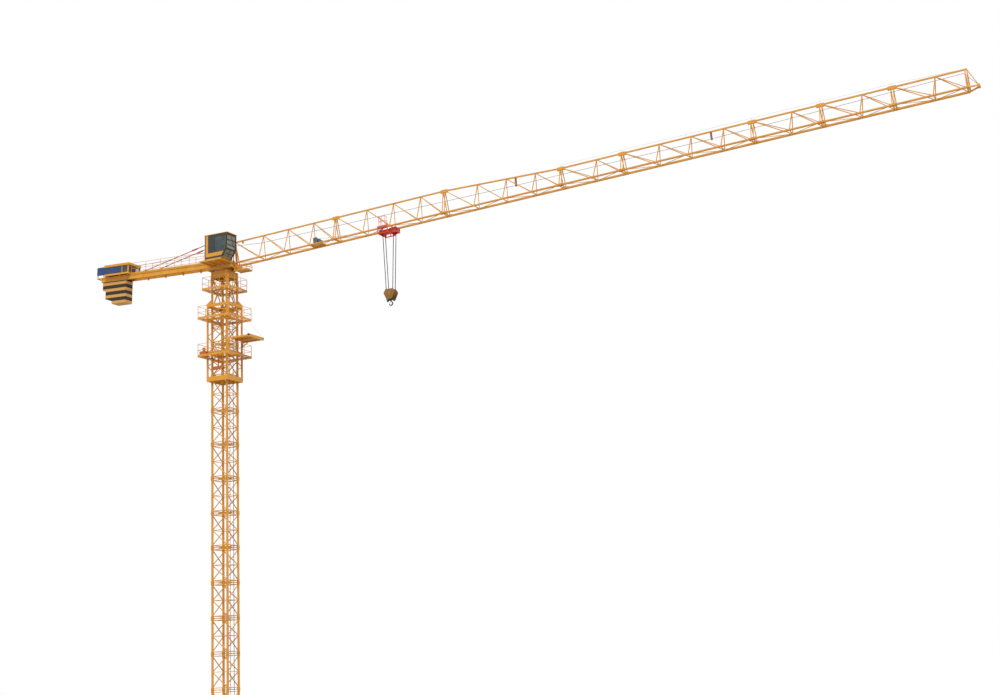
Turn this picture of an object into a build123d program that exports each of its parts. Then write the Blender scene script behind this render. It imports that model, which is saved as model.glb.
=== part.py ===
from build123d import *
import os
from math import atan2, degrees, radians, sin, sqrt

# Flat-top tower crane as a 1:2 scale model: every length below is half the real crane's, in mm.
# The origin is at the foot of the crane on its slewing axis. +Z is up and +X runs along the jib.

os.makedirs("parts", exist_ok=True)

# Cross frame on the ground
base_beam_length = 3000
base_beam_width = 170
base_beam_height = 250
base_plate_size = 420
base_plate_overlap = 280
base_plate_thickness = 30
anchor_circle_radius = 1560
anchor_edge = 80
anchor_hole_radius = 14

# Mast
leg_width = 68
leg_spacing = 732
section_height = 1400
mast_sections = 12
mast_foot_height = 50
brace_width = 30
foot_pad_width = 86
joint_tie_offset = 82
ladder_width = 200
ladder_stile = 14
ladder_offset = 170

# Climbing cage round the top of the mast
cage_leg_width = 60
cage_leg_spacing = 1000
cage_rise = 275
cage_drop = 3000
cage_ring_depth = 200
cage_ring_width = 44
cage_brace_width = 26
cage_gusset_height = 175
guide_size = 60
seat_gap = 0.3
walkway_width = 268
walkway_thickness = 30
walkway_rail_height = 525
lower_walkway_height = 1050
upper_walkway_drop = 625
entry_platform_length = 1050
entry_platform_width = 1050
entry_platform_depth = 70
entry_platform_rise = 690
jack_radius = 36
jack_length = 430
crosshead_length = 560
crosshead_depth = 130

# Slewing support on top of the mast
support_lattice_height = 1380
support_box_height = 270
support_flange_thickness = 25
support_platform_height = 890
support_platform_reach = 675
ring_outer_radius = 410
ring_inner_radius = 300
ring_height = 80
ring_gap = 0.5
ring_sides = 36
drive_radius = 68
drive_height = 330
pinion_radius = 44
slip_ring_radius = 45

# Slewing table and tower head
table_clearance = 10
table_half_length = 640
table_half_width = 400
table_depth = 140
head_height = 1180
head_post_width = 70
head_rear = -420
tie_anchor = -350
tie_radius = 18
tie_share = 0.602
platform_reach = 1250
platform_half_width = 230
platform_drop = 115

# Cab, on the near side of the tower head
cab_length = 1100
cab_width = 675
cab_height = 985
cab_rear = -175
cab_rise = 85
cab_tray_thickness = 55
cab_tray_reach = 290
cab_inner_side = -450
cab_wall = 20
cab_chin_height = 375
cab_chin_setback = 225
cab_nose_rake = 50
cab_post_width = 50
glass_thickness = 8

# Jib
jib_pin_height = 142
jib_root = 560
jib_angle = 2.8
jib_chord_spacing = 480
jib_chord_width = 58
jib_top_chord_width = 52
jib_brace_width = 28
jib_root_depth = 965
jib_tip_depth = 725
jib_long_section = 5000
jib_short_section = 2500
jib_first_panel = 1350
jib_last_panel = 1175
jib_post_lean = 120
jib_end_inset = 45
trolley_winch_setback = 960
rail_width = 40
rail_thickness = 12

# Counter-jib
counter_length = 5760
counter_tail = 250
counter_height = 275
counter_angle = 2.17
counter_beam_spacing = 380
counter_beam_depth = 220
counter_beam_width = 60
counter_flange = 16
counter_web = 18
counter_first_beam = 700
counter_bay = 930
counter_rail_height = 500
weight_setback = 112
weight_blocks = ((160, 0.36), (350, 0.76), (370, 1), (370, 1))
weight_gap = 4
weight_width = 455
weight_height = 1000
weight_neck = 300
weight_hanger = 36
housing_setback = 320
housing_length = 1300
housing_half_width = 400
housing_frame = 60
housing_height = 480
housing_roof = 100
board_height = 360
board_rise = 110
housing_panel_share = 0.74
winch_length = 720

# Trolley and hook block
trolley_station = 7990
trolley_rear = -360
trolley_split = 110
trolley_front = 400
trolley_depth = 230
wheel_radius = 45
wheel_width = 26
wheel_inset = 70
trolley_sheave_radius = 80
basket_rear = -190
basket_width = 160
basket_height = 380
sheave_groove = 16
rope_gap = 0.5
sheave_width = 36
fall_spacing = 500
block_sheave_radius = 142
block_sheave_offset = 100
rope_radius = 13
block_drop = 2690
hook_shank_radius = 26


def box(x, y, z):
    """Block between the two limits given for each axis."""
    size = [high - low for low, high in (x, y, z)]
    centre = [(high + low) / 2 for low, high in (x, y, z)]
    return Pos(*centre) * Box(*size)


def bar(start, end, width, depth=None):
    """Straight bar of rectangular section from one point to another."""
    axis = Vector(*end) - Vector(*start)
    side = Vector(0, 1, 0) if abs(axis.normalized().Z) > 0.99 else Vector(0, 0, 1).cross(axis)
    section = Plane(origin=start, x_dir=side, z_dir=axis) * Rectangle(width, depth or width)
    return extrude(section, amount=axis.length)


def rod(start, end, radius, sides):
    """Straight rod or drum of a regular section, from one point to another."""
    axis = Vector(*end) - Vector(*start)
    return extrude(Plane(origin=start, z_dir=axis) * RegularPolygon(radius, sides), amount=axis.length)


def join(pieces):
    """One solid from pieces that cross or touch."""
    return Part() + pieces


def save(name, shape):
    export_step(shape, f"parts/{name}.step")


def square_corners(half):
    """Corners of an upright square, in order round the mast."""
    return [(-half, -half), (half, -half), (half, half), (-half, half)]


def square_sides(half):
    """Pairs of neighbouring corners, one pair for each side."""
    corners = square_corners(half)
    return list(zip(corners, corners[1:] + corners[:1]))


# Cross frame: two box beams laid flat on the ground, crossing under the mast
def base_cross_frame():
    beam_half = base_beam_length / 2
    foot = leg_spacing / 2
    beam = box((-beam_half, beam_half), (-base_beam_width / 2, base_beam_width / 2), (0, base_beam_height))
    pieces = [Rot(0, 0, 45) * beam, Rot(0, 0, -45) * beam]
    plate_end = anchor_circle_radius + anchor_edge
    plate_half = base_plate_size / 2
    holes = []
    for turn in (45, 135, 225, 315):
        reach = (beam_half - base_plate_overlap, plate_end)
        plate = box(reach, (-plate_half, plate_half), (0, base_plate_thickness))
        pieces.append(Rot(0, 0, turn) * plate)
        hole = Cylinder(anchor_hole_radius, 3 * base_plate_thickness)
        holes.append(Rot(0, 0, turn) * Pos(anchor_circle_radius, 0, 0) * hole)
    for x, y in square_corners(foot):
        top = base_beam_height + mast_foot_height
        pieces.append(bar((x, y, base_beam_height), (x, y, top), foot_pad_width))
    for (x0, y0), (x1, y1) in square_sides(foot):
        height = base_beam_height / 2
        pieces.append(bar((x0, y0, height), (x1, y1, height), brace_width * 2))
    return join(pieces) - holes


# Mast section: four legs and a K brace on each side that turns round the mast
def mast_section():
    half = leg_spacing / 2
    middle = section_height / 2
    pieces = []
    for x, y in square_corners(half):
        pieces.append(bar((x, y, 0), (x, y, section_height), leg_width))
    for (x0, y0), (x1, y1) in square_sides(half):
        low, high = joint_tie_offset, section_height - joint_tie_offset
        for height in (low, high):
            pieces.append(bar((x0, y0, height), (x1, y1, height), brace_width))
        pieces.append(bar((x1, y1, low), (x0, y0, middle), brace_width))
        pieces.append(bar((x0, y0, middle), (x1, y1, high), brace_width))
    return join(pieces)


# Ladder inside the mast: two stiles, each held by a tie to the mast's side in every section
def mast_ladder():
    top = mast_top + support_lattice_height
    side = leg_spacing / 2 - brace_width / 2
    stiles = []
    for y in (-ladder_width / 2, ladder_width / 2):
        pieces = [bar((ladder_offset, y, mast_foot), (ladder_offset, y, top), ladder_stile)]
        for number in range(mast_sections):
            z = mast_foot + number * section_height + joint_tie_offset
            pieces.append(bar((ladder_offset, y, z), (side, y, z), ladder_stile * 0.7))
        stiles.append(join(pieces))
    return stiles


# Climbing cage: a wider lattice sleeve round the mast, open on the jib's side where new sections enter
def climbing_cage():
    half = cage_leg_spacing / 2
    levels = [cage_ring_depth / 2, window_low - 40, window_high - 40, cage_height - 60]
    pieces = []
    for x, y in square_corners(half):
        pieces.append(bar((x, y, 0), (x, y, cage_height), cage_leg_width))
    for level, depth in zip(levels, (cage_ring_depth, 100, 80, 120)):
        for (x0, y0), (x1, y1) in square_sides(half):
            pieces.append(bar((x0, y0, level), (x1, y1, level), cage_ring_width, depth))
    for side, ((x0, y0), (x1, y1)) in enumerate(square_sides(half)):
        for low, high in zip(levels, levels[1:]):
            if side == 1 and low == levels[1]:
                continue
            middle = (low + high) / 2
            pieces.append(bar((x0, y0, low), (x1, y1, middle), cage_brace_width))
            pieces.append(bar((x1, y1, middle), (x0, y0, high), cage_brace_width))
    inner = leg_spacing / 2 + leg_width / 2 + seat_gap
    for level in (levels[0], levels[2]):
        for turn in (0, 90, 180, 270):
            for y in (-leg_spacing / 2, leg_spacing / 2):
                guide = Pos((inner + half) / 2, y, level) * Box(half - inner, guide_size, guide_size)
                pieces.append(Rot(0, 0, turn) * guide)
    gusset_low = cage_drop + 100
    gusset_top = cage_height + cage_gusset_height
    inner_corner = inner * sqrt(2)
    outer_corner = (half + cage_leg_width / 2) * sqrt(2)
    outline = [(inner_corner, gusset_low), (half * sqrt(2), gusset_low)]
    outline += [(outer_corner, cage_height), (inner_corner + 30, gusset_top), (inner_corner, gusset_top)]
    gusset = extrude(Plane.XZ * make_face(Polyline(*outline, close=True)), amount=14, both=True)
    for turn in (45, 135, 225, 315):
        pieces.append(Rot(0, 0, turn) * gusset)
    return join(pieces)


# Ring walkway as four floor strips, and its guard rails as four flat panels
def walkway_floor(inner, outer, thickness):
    long_strip = box((inner, outer), (-outer, outer), (-thickness, 0))
    short_strip = box((-inner + 1, inner - 1), (inner, outer), (-thickness, 0))
    return [Rot(0, 0, turn) * strip for turn in (0, 180) for strip in (long_strip, short_strip)]


def rail_panel(length, height, posts):
    """Guard rail in the XZ plane, centred on X: posts, a top rail and a middle rail."""
    half = length / 2
    thickness = 14
    pieces = []
    for z in (height - thickness / 2, height / 2):
        pieces.append(bar((-half, 0, z), (half, 0, z), thickness))
    for number in range(posts):
        x = -half + thickness / 2 + (length - thickness) * number / (posts - 1)
        pieces.append(bar((x, 0, 0), (x, 0, height), thickness))
    return join(pieces)


def ring_rails(outer, height, posts):
    side = Pos(0, -outer + 10, 0) * rail_panel(2 * outer - 40, height, posts)
    return [Rot(0, 0, turn) * side for turn in (0, 90, 180, 270)]


# Entry platform where a new mast section is rolled into the cage
def entry_platform():
    start = cage_leg_spacing / 2 + cage_leg_width / 2
    end = start + entry_platform_length
    half = entry_platform_width / 2
    pieces = [box((start, end), (-half, half), (-20, 0))]
    for y in (-half + 20, 0, half - 20):
        pieces.append(box((start, end), (y - 20, y + 20), (-entry_platform_depth, 0)))
    pieces.append(box((end - 50, end), (-half, half), (-entry_platform_depth - 20, 30)))
    for y in (-half + 20, half - 20):
        foot = (start + 14, y, -entry_platform_depth - 150)
        pieces.append(bar(foot, (start + 300, y, -entry_platform_depth + 10), 28))
        pieces.append(box((start, start + 28), (y - 20, y + 20), (-entry_platform_depth - 170, 0)))
    return join(pieces)


# Climbing jack and its crosshead, on the near side between mast and cage
def climbing_jack():
    centre = -(leg_spacing / 2 + leg_width / 2 + 36)
    beam = lower_walkway_height + 110
    bottom = beam - jack_length
    foot = bottom - 120
    body = rod((0, centre, bottom), (0, centre, beam), jack_radius, 12)
    piston = rod((0, centre, foot), (0, centre, bottom), jack_radius * 0.6, 12)
    half = crosshead_length / 2
    crosshead = box((-half, half), (centre - 34, centre + 34), (foot - crosshead_depth, foot))
    seat = box((-60, 60), (-cage_leg_spacing / 2, centre + 28), (beam - 30, beam - seat_gap))
    return join([body, piston, crosshead, seat])


# Slewing support: a last braced bay, a plated box above it and the flange for the ring
def slewing_support():
    half = leg_spacing / 2
    box_low = support_lattice_height
    box_high = box_low + support_box_height
    outer = half + leg_width / 2
    pieces = []
    for x, y in square_corners(half):
        pieces.append(bar((x, y, 0), (x, y, box_high), leg_width))
    middle = support_platform_height - walkway_thickness
    for (x0, y0), (x1, y1) in square_sides(half):
        for level in (joint_tie_offset, middle):
            pieces.append(bar((x0, y0, level), (x1, y1, level), brace_width * 1.4))
        for low, high in ((joint_tie_offset, middle), (middle, box_low)):
            centre = ((x0 + x1) / 2, (y0 + y1) / 2, low if low == middle else high)
            other = high if low == middle else low
            pieces.append(bar(centre, (x0, y0, other), brace_width))
            pieces.append(bar(centre, (x1, y1, other), brace_width))
    skirt = [(-outer, box_high), (-outer, box_low - 130)]
    skirt += [(-half * 0.7, box_low - 90), (-half * 0.45, box_low)]
    skirt += [(-x, z) for x, z in reversed(skirt)]
    panel = extrude(Plane.XZ * make_face(Polyline(*skirt, close=True)), amount=12)
    for x in (-half * 0.68, half * 0.68):
        panel = panel - rod((x, -30, box_low - 10), (x, 30, box_low - 10), 34, 8)
    for turn in (0, 90, 180, 270):
        pieces.append(Rot(0, 0, turn) * Pos(0, -half, 0) * panel)
    pieces.append(box((-outer, outer), (-outer, outer), (box_high, box_high + support_flange_thickness)))
    bore = RegularPolygon(ring_inner_radius, ring_sides // 2, major_radius=False)
    return join(pieces) - Pos(0, 0, box_high - 20) * extrude(bore, amount=4 * support_flange_thickness)


def ring(outer, inner, height):
    """Flat ring with flat facets that stay inside the outer radius and outside the inner one."""
    hole = RegularPolygon(inner, ring_sides, major_radius=False)
    return extrude(RegularPolygon(outer, ring_sides) - hole, amount=height)


# Turning ring inside the fixed one, with a lip that seals the gap from above
def turning_ring():
    middle = (ring_outer_radius + ring_inner_radius) / 2
    body = Pos(0, 0, table_clearance) * ring(middle - ring_gap, ring_inner_radius, ring_height)
    lip = ring(ring_outer_radius - 12, ring_inner_radius, table_clearance - seat_gap)
    return body + Pos(0, 0, ring_height + seat_gap) * lip


# Slewing table: the turning frame that carries head, cab, jib and counter-jib, with the slip ring below
def slewing_table():
    long, wide, deep = table_half_length, table_half_width, table_depth
    pieces = []
    for y in (-wide + 40, wide - 40):
        pieces.append(box((-long, long), (y - 40, y + 40), (0, deep)))
    for x in (-long + 40, -ring_inner_radius, ring_inner_radius, long - 40):
        pieces.append(box((x - 40, x + 40), (-wide, wide), (0, deep)))
    hole = RegularPolygon(ring_inner_radius - 60, 24)
    pieces.append(extrude(RegularPolygon(ring_outer_radius - 12, 24) - hole, amount=30))
    pieces.append(box((-40, 40), (-wide, wide), (0, 60)))
    pieces.append(rod((0, 0, -180), (0, 0, 60), slip_ring_radius, 12))
    reach = counter_beam_spacing / 2
    for y in (-reach, reach):
        bracket = (y - counter_beam_width / 2, y + counter_beam_width / 2)
        pieces.append(box((-long, 80 - long), bracket, (deep, counter_height + counter_beam_depth / 2)))
        stay = ((60 - long, y, counter_height), (180 - long, y, deep - 20))
        pieces.append(bar(*stay, counter_beam_width * 0.7))
    return join(pieces)


# Slewing drives: two upright gear motors whose pinions run round the outside of the fixed ring
def slewing_drives():
    centre = ring_outer_radius + 1.5 + pinion_radius
    near, far = ring_inner_radius + 40 + seat_gap, table_half_length - 80 - seat_gap
    floor = 30 + seat_gap
    plate = box((near, far), (-110, 110), (floor, floor + 30))
    gearbox = rod((centre, 0, floor), (centre, 0, floor + drive_height * 0.6), drive_radius, 12)
    motor = rod((centre, 0, floor), (centre, 0, floor + drive_height), drive_radius * 0.7, 12)
    pinion = rod((centre, 0, -70), (centre, 0, floor), pinion_radius, 12)
    drive = join([plate, gearbox, motor, pinion])
    return [Rot(0, 0, turn) * drive for turn in (0, 180)]


# Tower head: short A-frame between the jib's root and the counter-jib
def tower_head():
    base = table_depth
    top = base + head_height
    front = jib_root - 90
    pieces = []
    for y in (-240, 240):
        inner = y / 4
        pieces.append(bar((front, y, base), (front + 30, inner, top), head_post_width))
        pieces.append(bar((head_rear, y, base), (-250, inner, top), head_post_width))
        height = base + head_height * 0.55
        pieces.append(bar((front, y, base), (-310, y * 0.55, height), head_post_width * 0.6))
        pieces.append(bar((head_rear, y, base), (front + 20, y * 0.55, height), head_post_width * 0.6))
    for x in (front + 16, -335):
        reach = 240 * 0.62
        height = base + head_height / 2
        pieces.append(bar((x, -reach, height), (x, reach, height), head_post_width * 0.6))
    pieces.append(box((-310, front + 30), (-95, 95), (top - 60, top)))
    reach = counter_beam_spacing / 2 + 30
    pieces.append(box((tie_anchor, tie_anchor + 70), (-reach, reach), (top - 60, top)))
    room = box((-table_half_length, table_half_length), (-table_half_width, table_half_width), (base, top))
    return join(pieces) & room


# Cab outline seen from its side, with the raked windscreen and the chin window under it
def cab_profile(inset):
    front = cab_rear + cab_length
    points = [(cab_rear + inset, inset), (front - cab_chin_setback - cab_nose_rake - inset * 0.5, inset)]
    points += [(front - cab_nose_rake - inset, cab_chin_height), (front - inset, cab_height - inset)]
    points += [(cab_rear + inset, cab_height - inset)]
    return make_face(Polyline(*points, close=True))


def cab_solid(inset):
    outer = cab_inner_side - inset
    width = cab_width - 2 * inset
    plane = Plane(origin=(0, outer, 0), x_dir=(1, 0, 0), z_dir=(0, -1, 0))
    return extrude(plane * cab_profile(inset), amount=width)


def cab_window_cuts():
    """Volumes that open the two sides and the two front panes of the cab."""
    front = cab_rear + cab_length
    post = cab_post_width
    middle = cab_inner_side - cab_width / 2
    side = [(cab_rear + post + 60, post + 30), (front - cab_chin_setback - post, post + 30)]
    side += [(front - cab_nose_rake - post, cab_chin_height), (front - post, cab_height - post)]
    side += [(cab_rear + post + 60, cab_height - post)]
    plane = Plane(origin=(0, cab_inner_side + 50, 0), x_dir=(1, 0, 0), z_dir=(0, -1, 0))
    through = extrude(plane * make_face(Polyline(*side, close=True)), amount=cab_width + 100)
    half = cab_width / 2 - post * 0.6
    across = (middle - half, middle + half)
    upper = box((front - 200, front + 100), across, (cab_chin_height + 20, cab_height - post))
    chin = box((front - cab_chin_setback - 90, front + 100), across, (60, cab_chin_height - 20))
    return [through, upper, chin]


def cab_shell():
    return cab_solid(0) - cab_solid(cab_wall) - cab_window_cuts()


def cab_glass():
    inner = (cab_wall - glass_thickness) / 2
    skin = cab_solid(inner) - cab_solid(inner + glass_thickness)
    panes = [skin & cut for cut in cab_window_cuts()]
    return join(panes)


# Tray under the cab, laid across the table's side beam on two packers
def cab_support():
    low = -cab_tray_thickness
    outer = cab_inner_side - cab_width
    inner = 80 - table_half_width
    rear, front = cab_rear - cab_tray_reach, cab_rear + cab_length * 0.72
    pieces = []
    for y in (outer, cab_inner_side - 60, inner - 60):
        pieces.append(box((rear, front), (y, y + 60), (low, 0)))
    for x in (rear, cab_rear, (cab_rear + front) / 2, front - 50):
        pieces.append(box((x, x + 50), (outer, inner), (low, 0)))
    for x in (rear, front - 50):
        pieces.append(box((x, x + 50), (inner - 60, inner), (-cab_rise, 0)))
    pieces.append(box((rear, cab_rear), (outer, inner), (-10, 0)))
    return join(pieces)


# Access platform in front of the slewing ring, hung from the table's end beam
def slewing_platform():
    start, half = table_half_length, platform_half_width
    pieces = [box((start, platform_reach), (-half, half), (-25, 0))]
    for y in (-half + 15, half - 15):
        pieces.append(box((start, platform_reach), (y - 15, y + 15), (-50, 0)))
        pieces.append(box((start, start + 20), (y - 15, y + 15), (-50, platform_drop + table_depth)))
    height = platform_drop + jib_pin_height - jib_chord_width
    length = platform_reach - start - 60
    for y in (-half + 7, half - 7):
        pieces.append(Pos(platform_reach - length / 2, y, 0) * rail_panel(length, height, 3))
    pieces.append(Pos(platform_reach - 7, 0, 0) * Rot(0, 0, 90) * rail_panel(2 * half, height, 2))
    return join(pieces)


def jib_depth(station):
    """Height of the top chord over the bottom chords, falling through the third section."""
    taper_start = jib_root + 2 * jib_long_section
    share = min(max((station - taper_start) / jib_long_section, 0), 1)
    return jib_root_depth + (jib_tip_depth - jib_root_depth) * share


def jib_sections():
    """Start and end station of each jib section, from the root to the tip."""
    lengths = [jib_long_section] * 3 + [jib_short_section, jib_long_section] + [jib_short_section] * 3
    start = jib_root
    spans = []
    for length in lengths:
        spans.append((start, start + length))
        start += length
    return spans


# Jib section: one top chord, two bottom chords, posts and diagonals in pairs, and cross bars below
def jib_section(start, end):
    half = jib_chord_spacing / 2
    inner_span = end - start - jib_first_panel - jib_last_panel
    panels = round(inner_span / 1250)
    feet = [start + jib_first_panel + inner_span * number / max(panels, 1) for number in range(panels + 1)]
    begin, finish = start + jib_end_inset, end - jib_end_inset
    pieces = []
    for y in (-half, half):
        pieces.append(bar((start, y, 0), (end, y, 0), jib_chord_width))
        low = -jib_chord_width / 2
        outer = y + (jib_chord_width / 2) * (1 if y > 0 else -1)
        rail = sorted((outer, outer + (rail_width if y > 0 else -rail_width)))
        pieces.append(box((start, end), rail, (low, low + rail_thickness)))
    pieces.append(bar((start, 0, jib_depth(start)), (end, 0, jib_depth(end)), jib_top_chord_width))
    tops = [begin] + [foot + jib_post_lean for foot in feet]
    bottoms = [begin] + feet + [finish]
    for y in (-half, half):
        for foot, top in zip(bottoms, tops):
            pieces.append(bar((foot, y, 0), (top, 0, jib_depth(top)), jib_brace_width))
        pieces.append(bar((finish, y, 0), (finish, 0, jib_depth(finish)), jib_brace_width))
        for top, foot in zip(tops, bottoms[1:]):
            pieces.append(bar((top, 0, jib_depth(top)), (foot, y, 0), jib_brace_width))
    for foot in bottoms:
        pieces.append(bar((foot, -half, 0), (foot, half, 0), jib_brace_width))
    reach = (-jib_chord_spacing, jib_chord_spacing)
    return join(pieces) & box((start, end), reach, (-jib_chord_width, 2 * jib_root_depth))


# Tip of the jib: end plates that hold the rope's turning sheave
def jib_tip(station):
    half = jib_chord_spacing / 2
    depth = jib_tip_depth
    pieces = []
    for y in (-half, half):
        pieces.append(bar((station, y, 0), (station + 330, y * 0.35, 40), jib_chord_width * 0.8))
        pieces.append(bar((station + 20, y, 0), (station + 20, 0, depth), jib_brace_width))
    pieces.append(bar((station + 20, -half, 0), (station + 20, half, 0), jib_chord_width * 0.8))
    pieces.append(bar((station + 20, 0, depth), (station + 330, 0, 60), jib_brace_width))
    pieces.append(bar((station, 0, depth), (station + 40, 0, depth), jib_top_chord_width))
    pieces.append(box((station + 290, station + 370), (-110, 110), (-10, 90)))
    reach = box((station, station + 500), (-jib_chord_spacing, jib_chord_spacing), (-100, 2 * depth))
    return join(pieces) & reach


# Winch that pulls the trolley, on a tray between the bottom chords
def trolley_winch(station):
    half = jib_chord_spacing / 2 - jib_chord_width / 2
    floor = jib_brace_width / 2 + seat_gap
    pieces = [box((station - 300, station + 300), (-half, half), (floor, 32))]
    pieces.append(box((station - 120, station + 120), (-140, 140), (32, 70)))
    pieces.append(rod((station, -125, 190), (station, 125, 190), 110, 16))
    for y in (-135, 135):
        pieces.append(box((station - 90, station + 90), (y - 10, y + 10), (60, 300)))
    pieces.append(rod((station + 190, -120, 130), (station + 190, 120, 130), 60, 12))
    pieces.append(box((station + 150, station + 230), (-110, 110), (32, 80)))
    return join(pieces)


# Counter-jib: two plate girders with cross beams between them and a lug under each beam's end
def counter_jib():
    outer = counter_beam_spacing / 2
    depth = counter_beam_depth / 2
    half = counter_beam_width / 2
    pieces = []
    for y in (-outer, outer):
        web = (y - counter_web / 2, y + counter_web / 2)
        pieces.append(box((-counter_length, 0), web, (-depth, depth)))
        for low in (-depth, depth - counter_flange):
            pieces.append(box((-counter_length, 0), (y - half, y + half), (low, low + counter_flange)))
    for y in (-outer, outer):
        pieces.append(box((-counter_length - counter_tail, 0), (y - half, y + half), (depth - 40, depth)))
    tail = -counter_length - counter_tail
    pieces.append(box((tail, tail + 40), (-outer, outer), (depth - 40, depth)))
    last = counter_length - weight_setback - weights_length - 30
    bays = int((last - counter_first_beam) / counter_bay)
    stations = [counter_first_beam + number * counter_bay for number in range(bays + 1)]
    for station in [60] + stations + [last, counter_length - 25]:
        pieces.append(box((-station - 25, 25 - station), (-outer, outer), (-depth + 60, depth - 60)))
    for station in stations:
        for y in (-outer, outer):
            pieces.append(box((-station - 30, 30 - station), (y - 12, y + 12), (-depth - 55, -depth)))
    return join(pieces)


def counter_walkway():
    width = counter_beam_spacing / 2 - counter_beam_width / 2 - 10
    top = counter_beam_depth / 2
    return box((-housing_front + 20, -30), (-width, width), (top - 60, top - 40))


def counter_rails():
    length = housing_front - 275
    outer = counter_beam_spacing / 2 + counter_beam_width / 2 + 7 + seat_gap
    place = Pos(-250 - length / 2, 0, counter_beam_depth / 2 - counter_flange)
    return [place * Pos(0, y, 0) * rail_panel(length, counter_rail_height, 6) for y in (-outer, outer)]


# Red tie rods from the top of the tower head down to the counter-jib, with a turnbuckle in each
def counter_ties():
    station = counter_length * tie_share
    ties = []
    for y in (-1, 1):
        head = Vector(tie_anchor - 40, y * counter_beam_spacing / 2, head_top - 30)
        shoe = (-station, y * counter_beam_spacing / 2, counter_beam_depth / 2 + 40)
        shoe_place = counter_frame * Pos(*shoe)
        foot = shoe_place.position
        run = foot - head
        pieces = [rod(tuple(head), tuple(foot), tie_radius, 8)]
        pieces.append(rod(tuple(head + run * 0.24), tuple(head + run * 0.3), tie_radius * 1.8, 8))
        lug_x = (tie_anchor - 55, tie_anchor - seat_gap)
        pieces.append(box(lug_x, (head.Y - 22, head.Y + 22), (head_top - 55, head_top - 5)))
        pieces.append(shoe_place * box((-40, 40), (-22, 22), (seat_gap - 40, 20)))
        ties.append(join(pieces))
    return ties


# Counterweight blocks under the girders, each hung by its neck from a bar across both top flanges
def counterweights():
    blocks = []
    under = -counter_beam_depth / 2 - 6
    over = counter_beam_depth / 2 + seat_gap
    half, neck = weight_width / 2, weight_neck / 2
    reach = counter_beam_spacing / 2 + counter_beam_width / 3
    start = weight_setback - counter_length
    for thickness, share in weight_blocks:
        end = start + thickness
        middle = (start + end) / 2
        part = thickness / 5
        low = under - weight_height * share
        block = box((start, end), (-half, half), (low, under))
        block += box((middle - part, middle + part), (-neck, neck), (under, over + weight_hanger))
        block += box((middle - 30, middle + 30), (-reach, reach), (over, over + weight_hanger))
        blocks.append(block)
        start = end + weight_gap
    return blocks


# Hoist winch in the open front of its housing: skid, rope drum between cheeks, and motor
def hoist_winch():
    end = -housing_front - 30
    start = end - winch_length
    floor = counter_beam_depth / 2 + housing_frame + 10 + 2 * seat_gap
    half = housing_half_width - 60
    pieces = [box((start, end), (-half, half), (floor, floor + 30))]
    drum = start + winch_length * 0.68
    pieces.append(rod((drum, -240, floor + 160), (drum, 240, floor + 160), 115, 16))
    for y in (-250, 250):
        pieces.append(box((drum - 120, drum + 120), (y - 12, y + 12), (floor + 20, floor + 285)))
    motor = start + winch_length * 0.2
    pieces.append(rod((motor, -240, floor + 130), (motor, 240, floor + 130), 80, 12))
    pieces.append(box((motor - 70, motor + 70), (-200, 200), (floor + 20, floor + 80)))
    return join(pieces)


# Winch housing: a deep roof on posts over a floor frame, boarded at the rear and open round the winch
def winch_housing():
    front = -housing_front
    rear = front - housing_length
    split = rear + housing_length * housing_panel_share
    low = counter_beam_depth / 2 + seat_gap
    floor = low + housing_frame
    eaves = low + housing_height - housing_roof
    half = housing_half_width
    pieces = [box((rear - 20, front + 20), (-half - 20, half + 20), (eaves, eaves + housing_roof))]
    pieces.append(box((rear, front), (-half, half), (floor, floor + 10)))
    for x in (rear, rear + housing_length * 0.52, front - 50):
        pieces.append(box((x, x + 50), (-half, half), (low, floor)))
    for y in (-half, half - 50):
        pieces.append(box((rear, front), (y, y + 50), (low, floor)))
        for x in (rear, split - 50, front - 50):
            pieces.append(box((x, x + 50), (y, y + 50), (floor, eaves)))
    for y in (-half + 10, half - 22):
        pieces.append(box((rear, split), (y, y + 12), (floor, eaves)))
    pieces.append(box((rear + 10, rear + 22), (-half, half), (floor, eaves)))
    return join(pieces)


# Bare board at the tail of the counter-jib, on the near girder
def tail_board():
    y = -counter_beam_spacing / 2 - counter_beam_width / 2
    low = counter_beam_depth / 2 + seat_gap
    rear, front = -counter_length - counter_tail, 40 - counter_length + weight_setback
    board = box((rear, front), (y, y + 12), (low + board_rise, low + board_rise + board_height))
    top = low + board_rise + board_height - 30
    posts = [box((x, x + 20), (y + 12, y + 32), (low, top)) for x in (rear + 30, front - 50)]
    return join([board] + posts)


# Trolley frame: side plates outside the rails, and a narrower sheave carrier that reaches out in front
def trolley_frame():
    inner = jib_chord_spacing / 2 + jib_chord_width / 2 + rail_width + 12
    low = -jib_chord_width / 2 - trolley_depth
    carrier = block_sheave_offset + 50
    length = trolley_split - trolley_rear
    pieces = []
    for y in (-inner - 12, inner):
        side = box((trolley_rear, trolley_split), (y, y + 12), (low, 60))
        for share in (0.08, 0.54):
            start = trolley_rear + length * share
            side -= box((start, start + length * 0.38), (y - 5, y + 17), (low + 45, low + 175))
        pieces.append(side)
    for x in (trolley_rear, trolley_split - 30):
        pieces.append(box((x, x + 30), (-inner, inner), (low, low + 70)))
    for y in (-block_sheave_offset, block_sheave_offset):
        for offset in (-38, 26):
            plate = (y + offset, y + offset + 12)
            pieces.append(box((trolley_rear, trolley_front), plate, (low + 50, low + 190)))
    for y in (-carrier - 12, carrier):
        pieces.append(box((trolley_split - 30, trolley_front), (y, y + 12), (low, low + 200)))
    pieces.append(box((trolley_front - 30, trolley_front), (-carrier, carrier), (low, low + 70)))
    return join(pieces)


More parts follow.
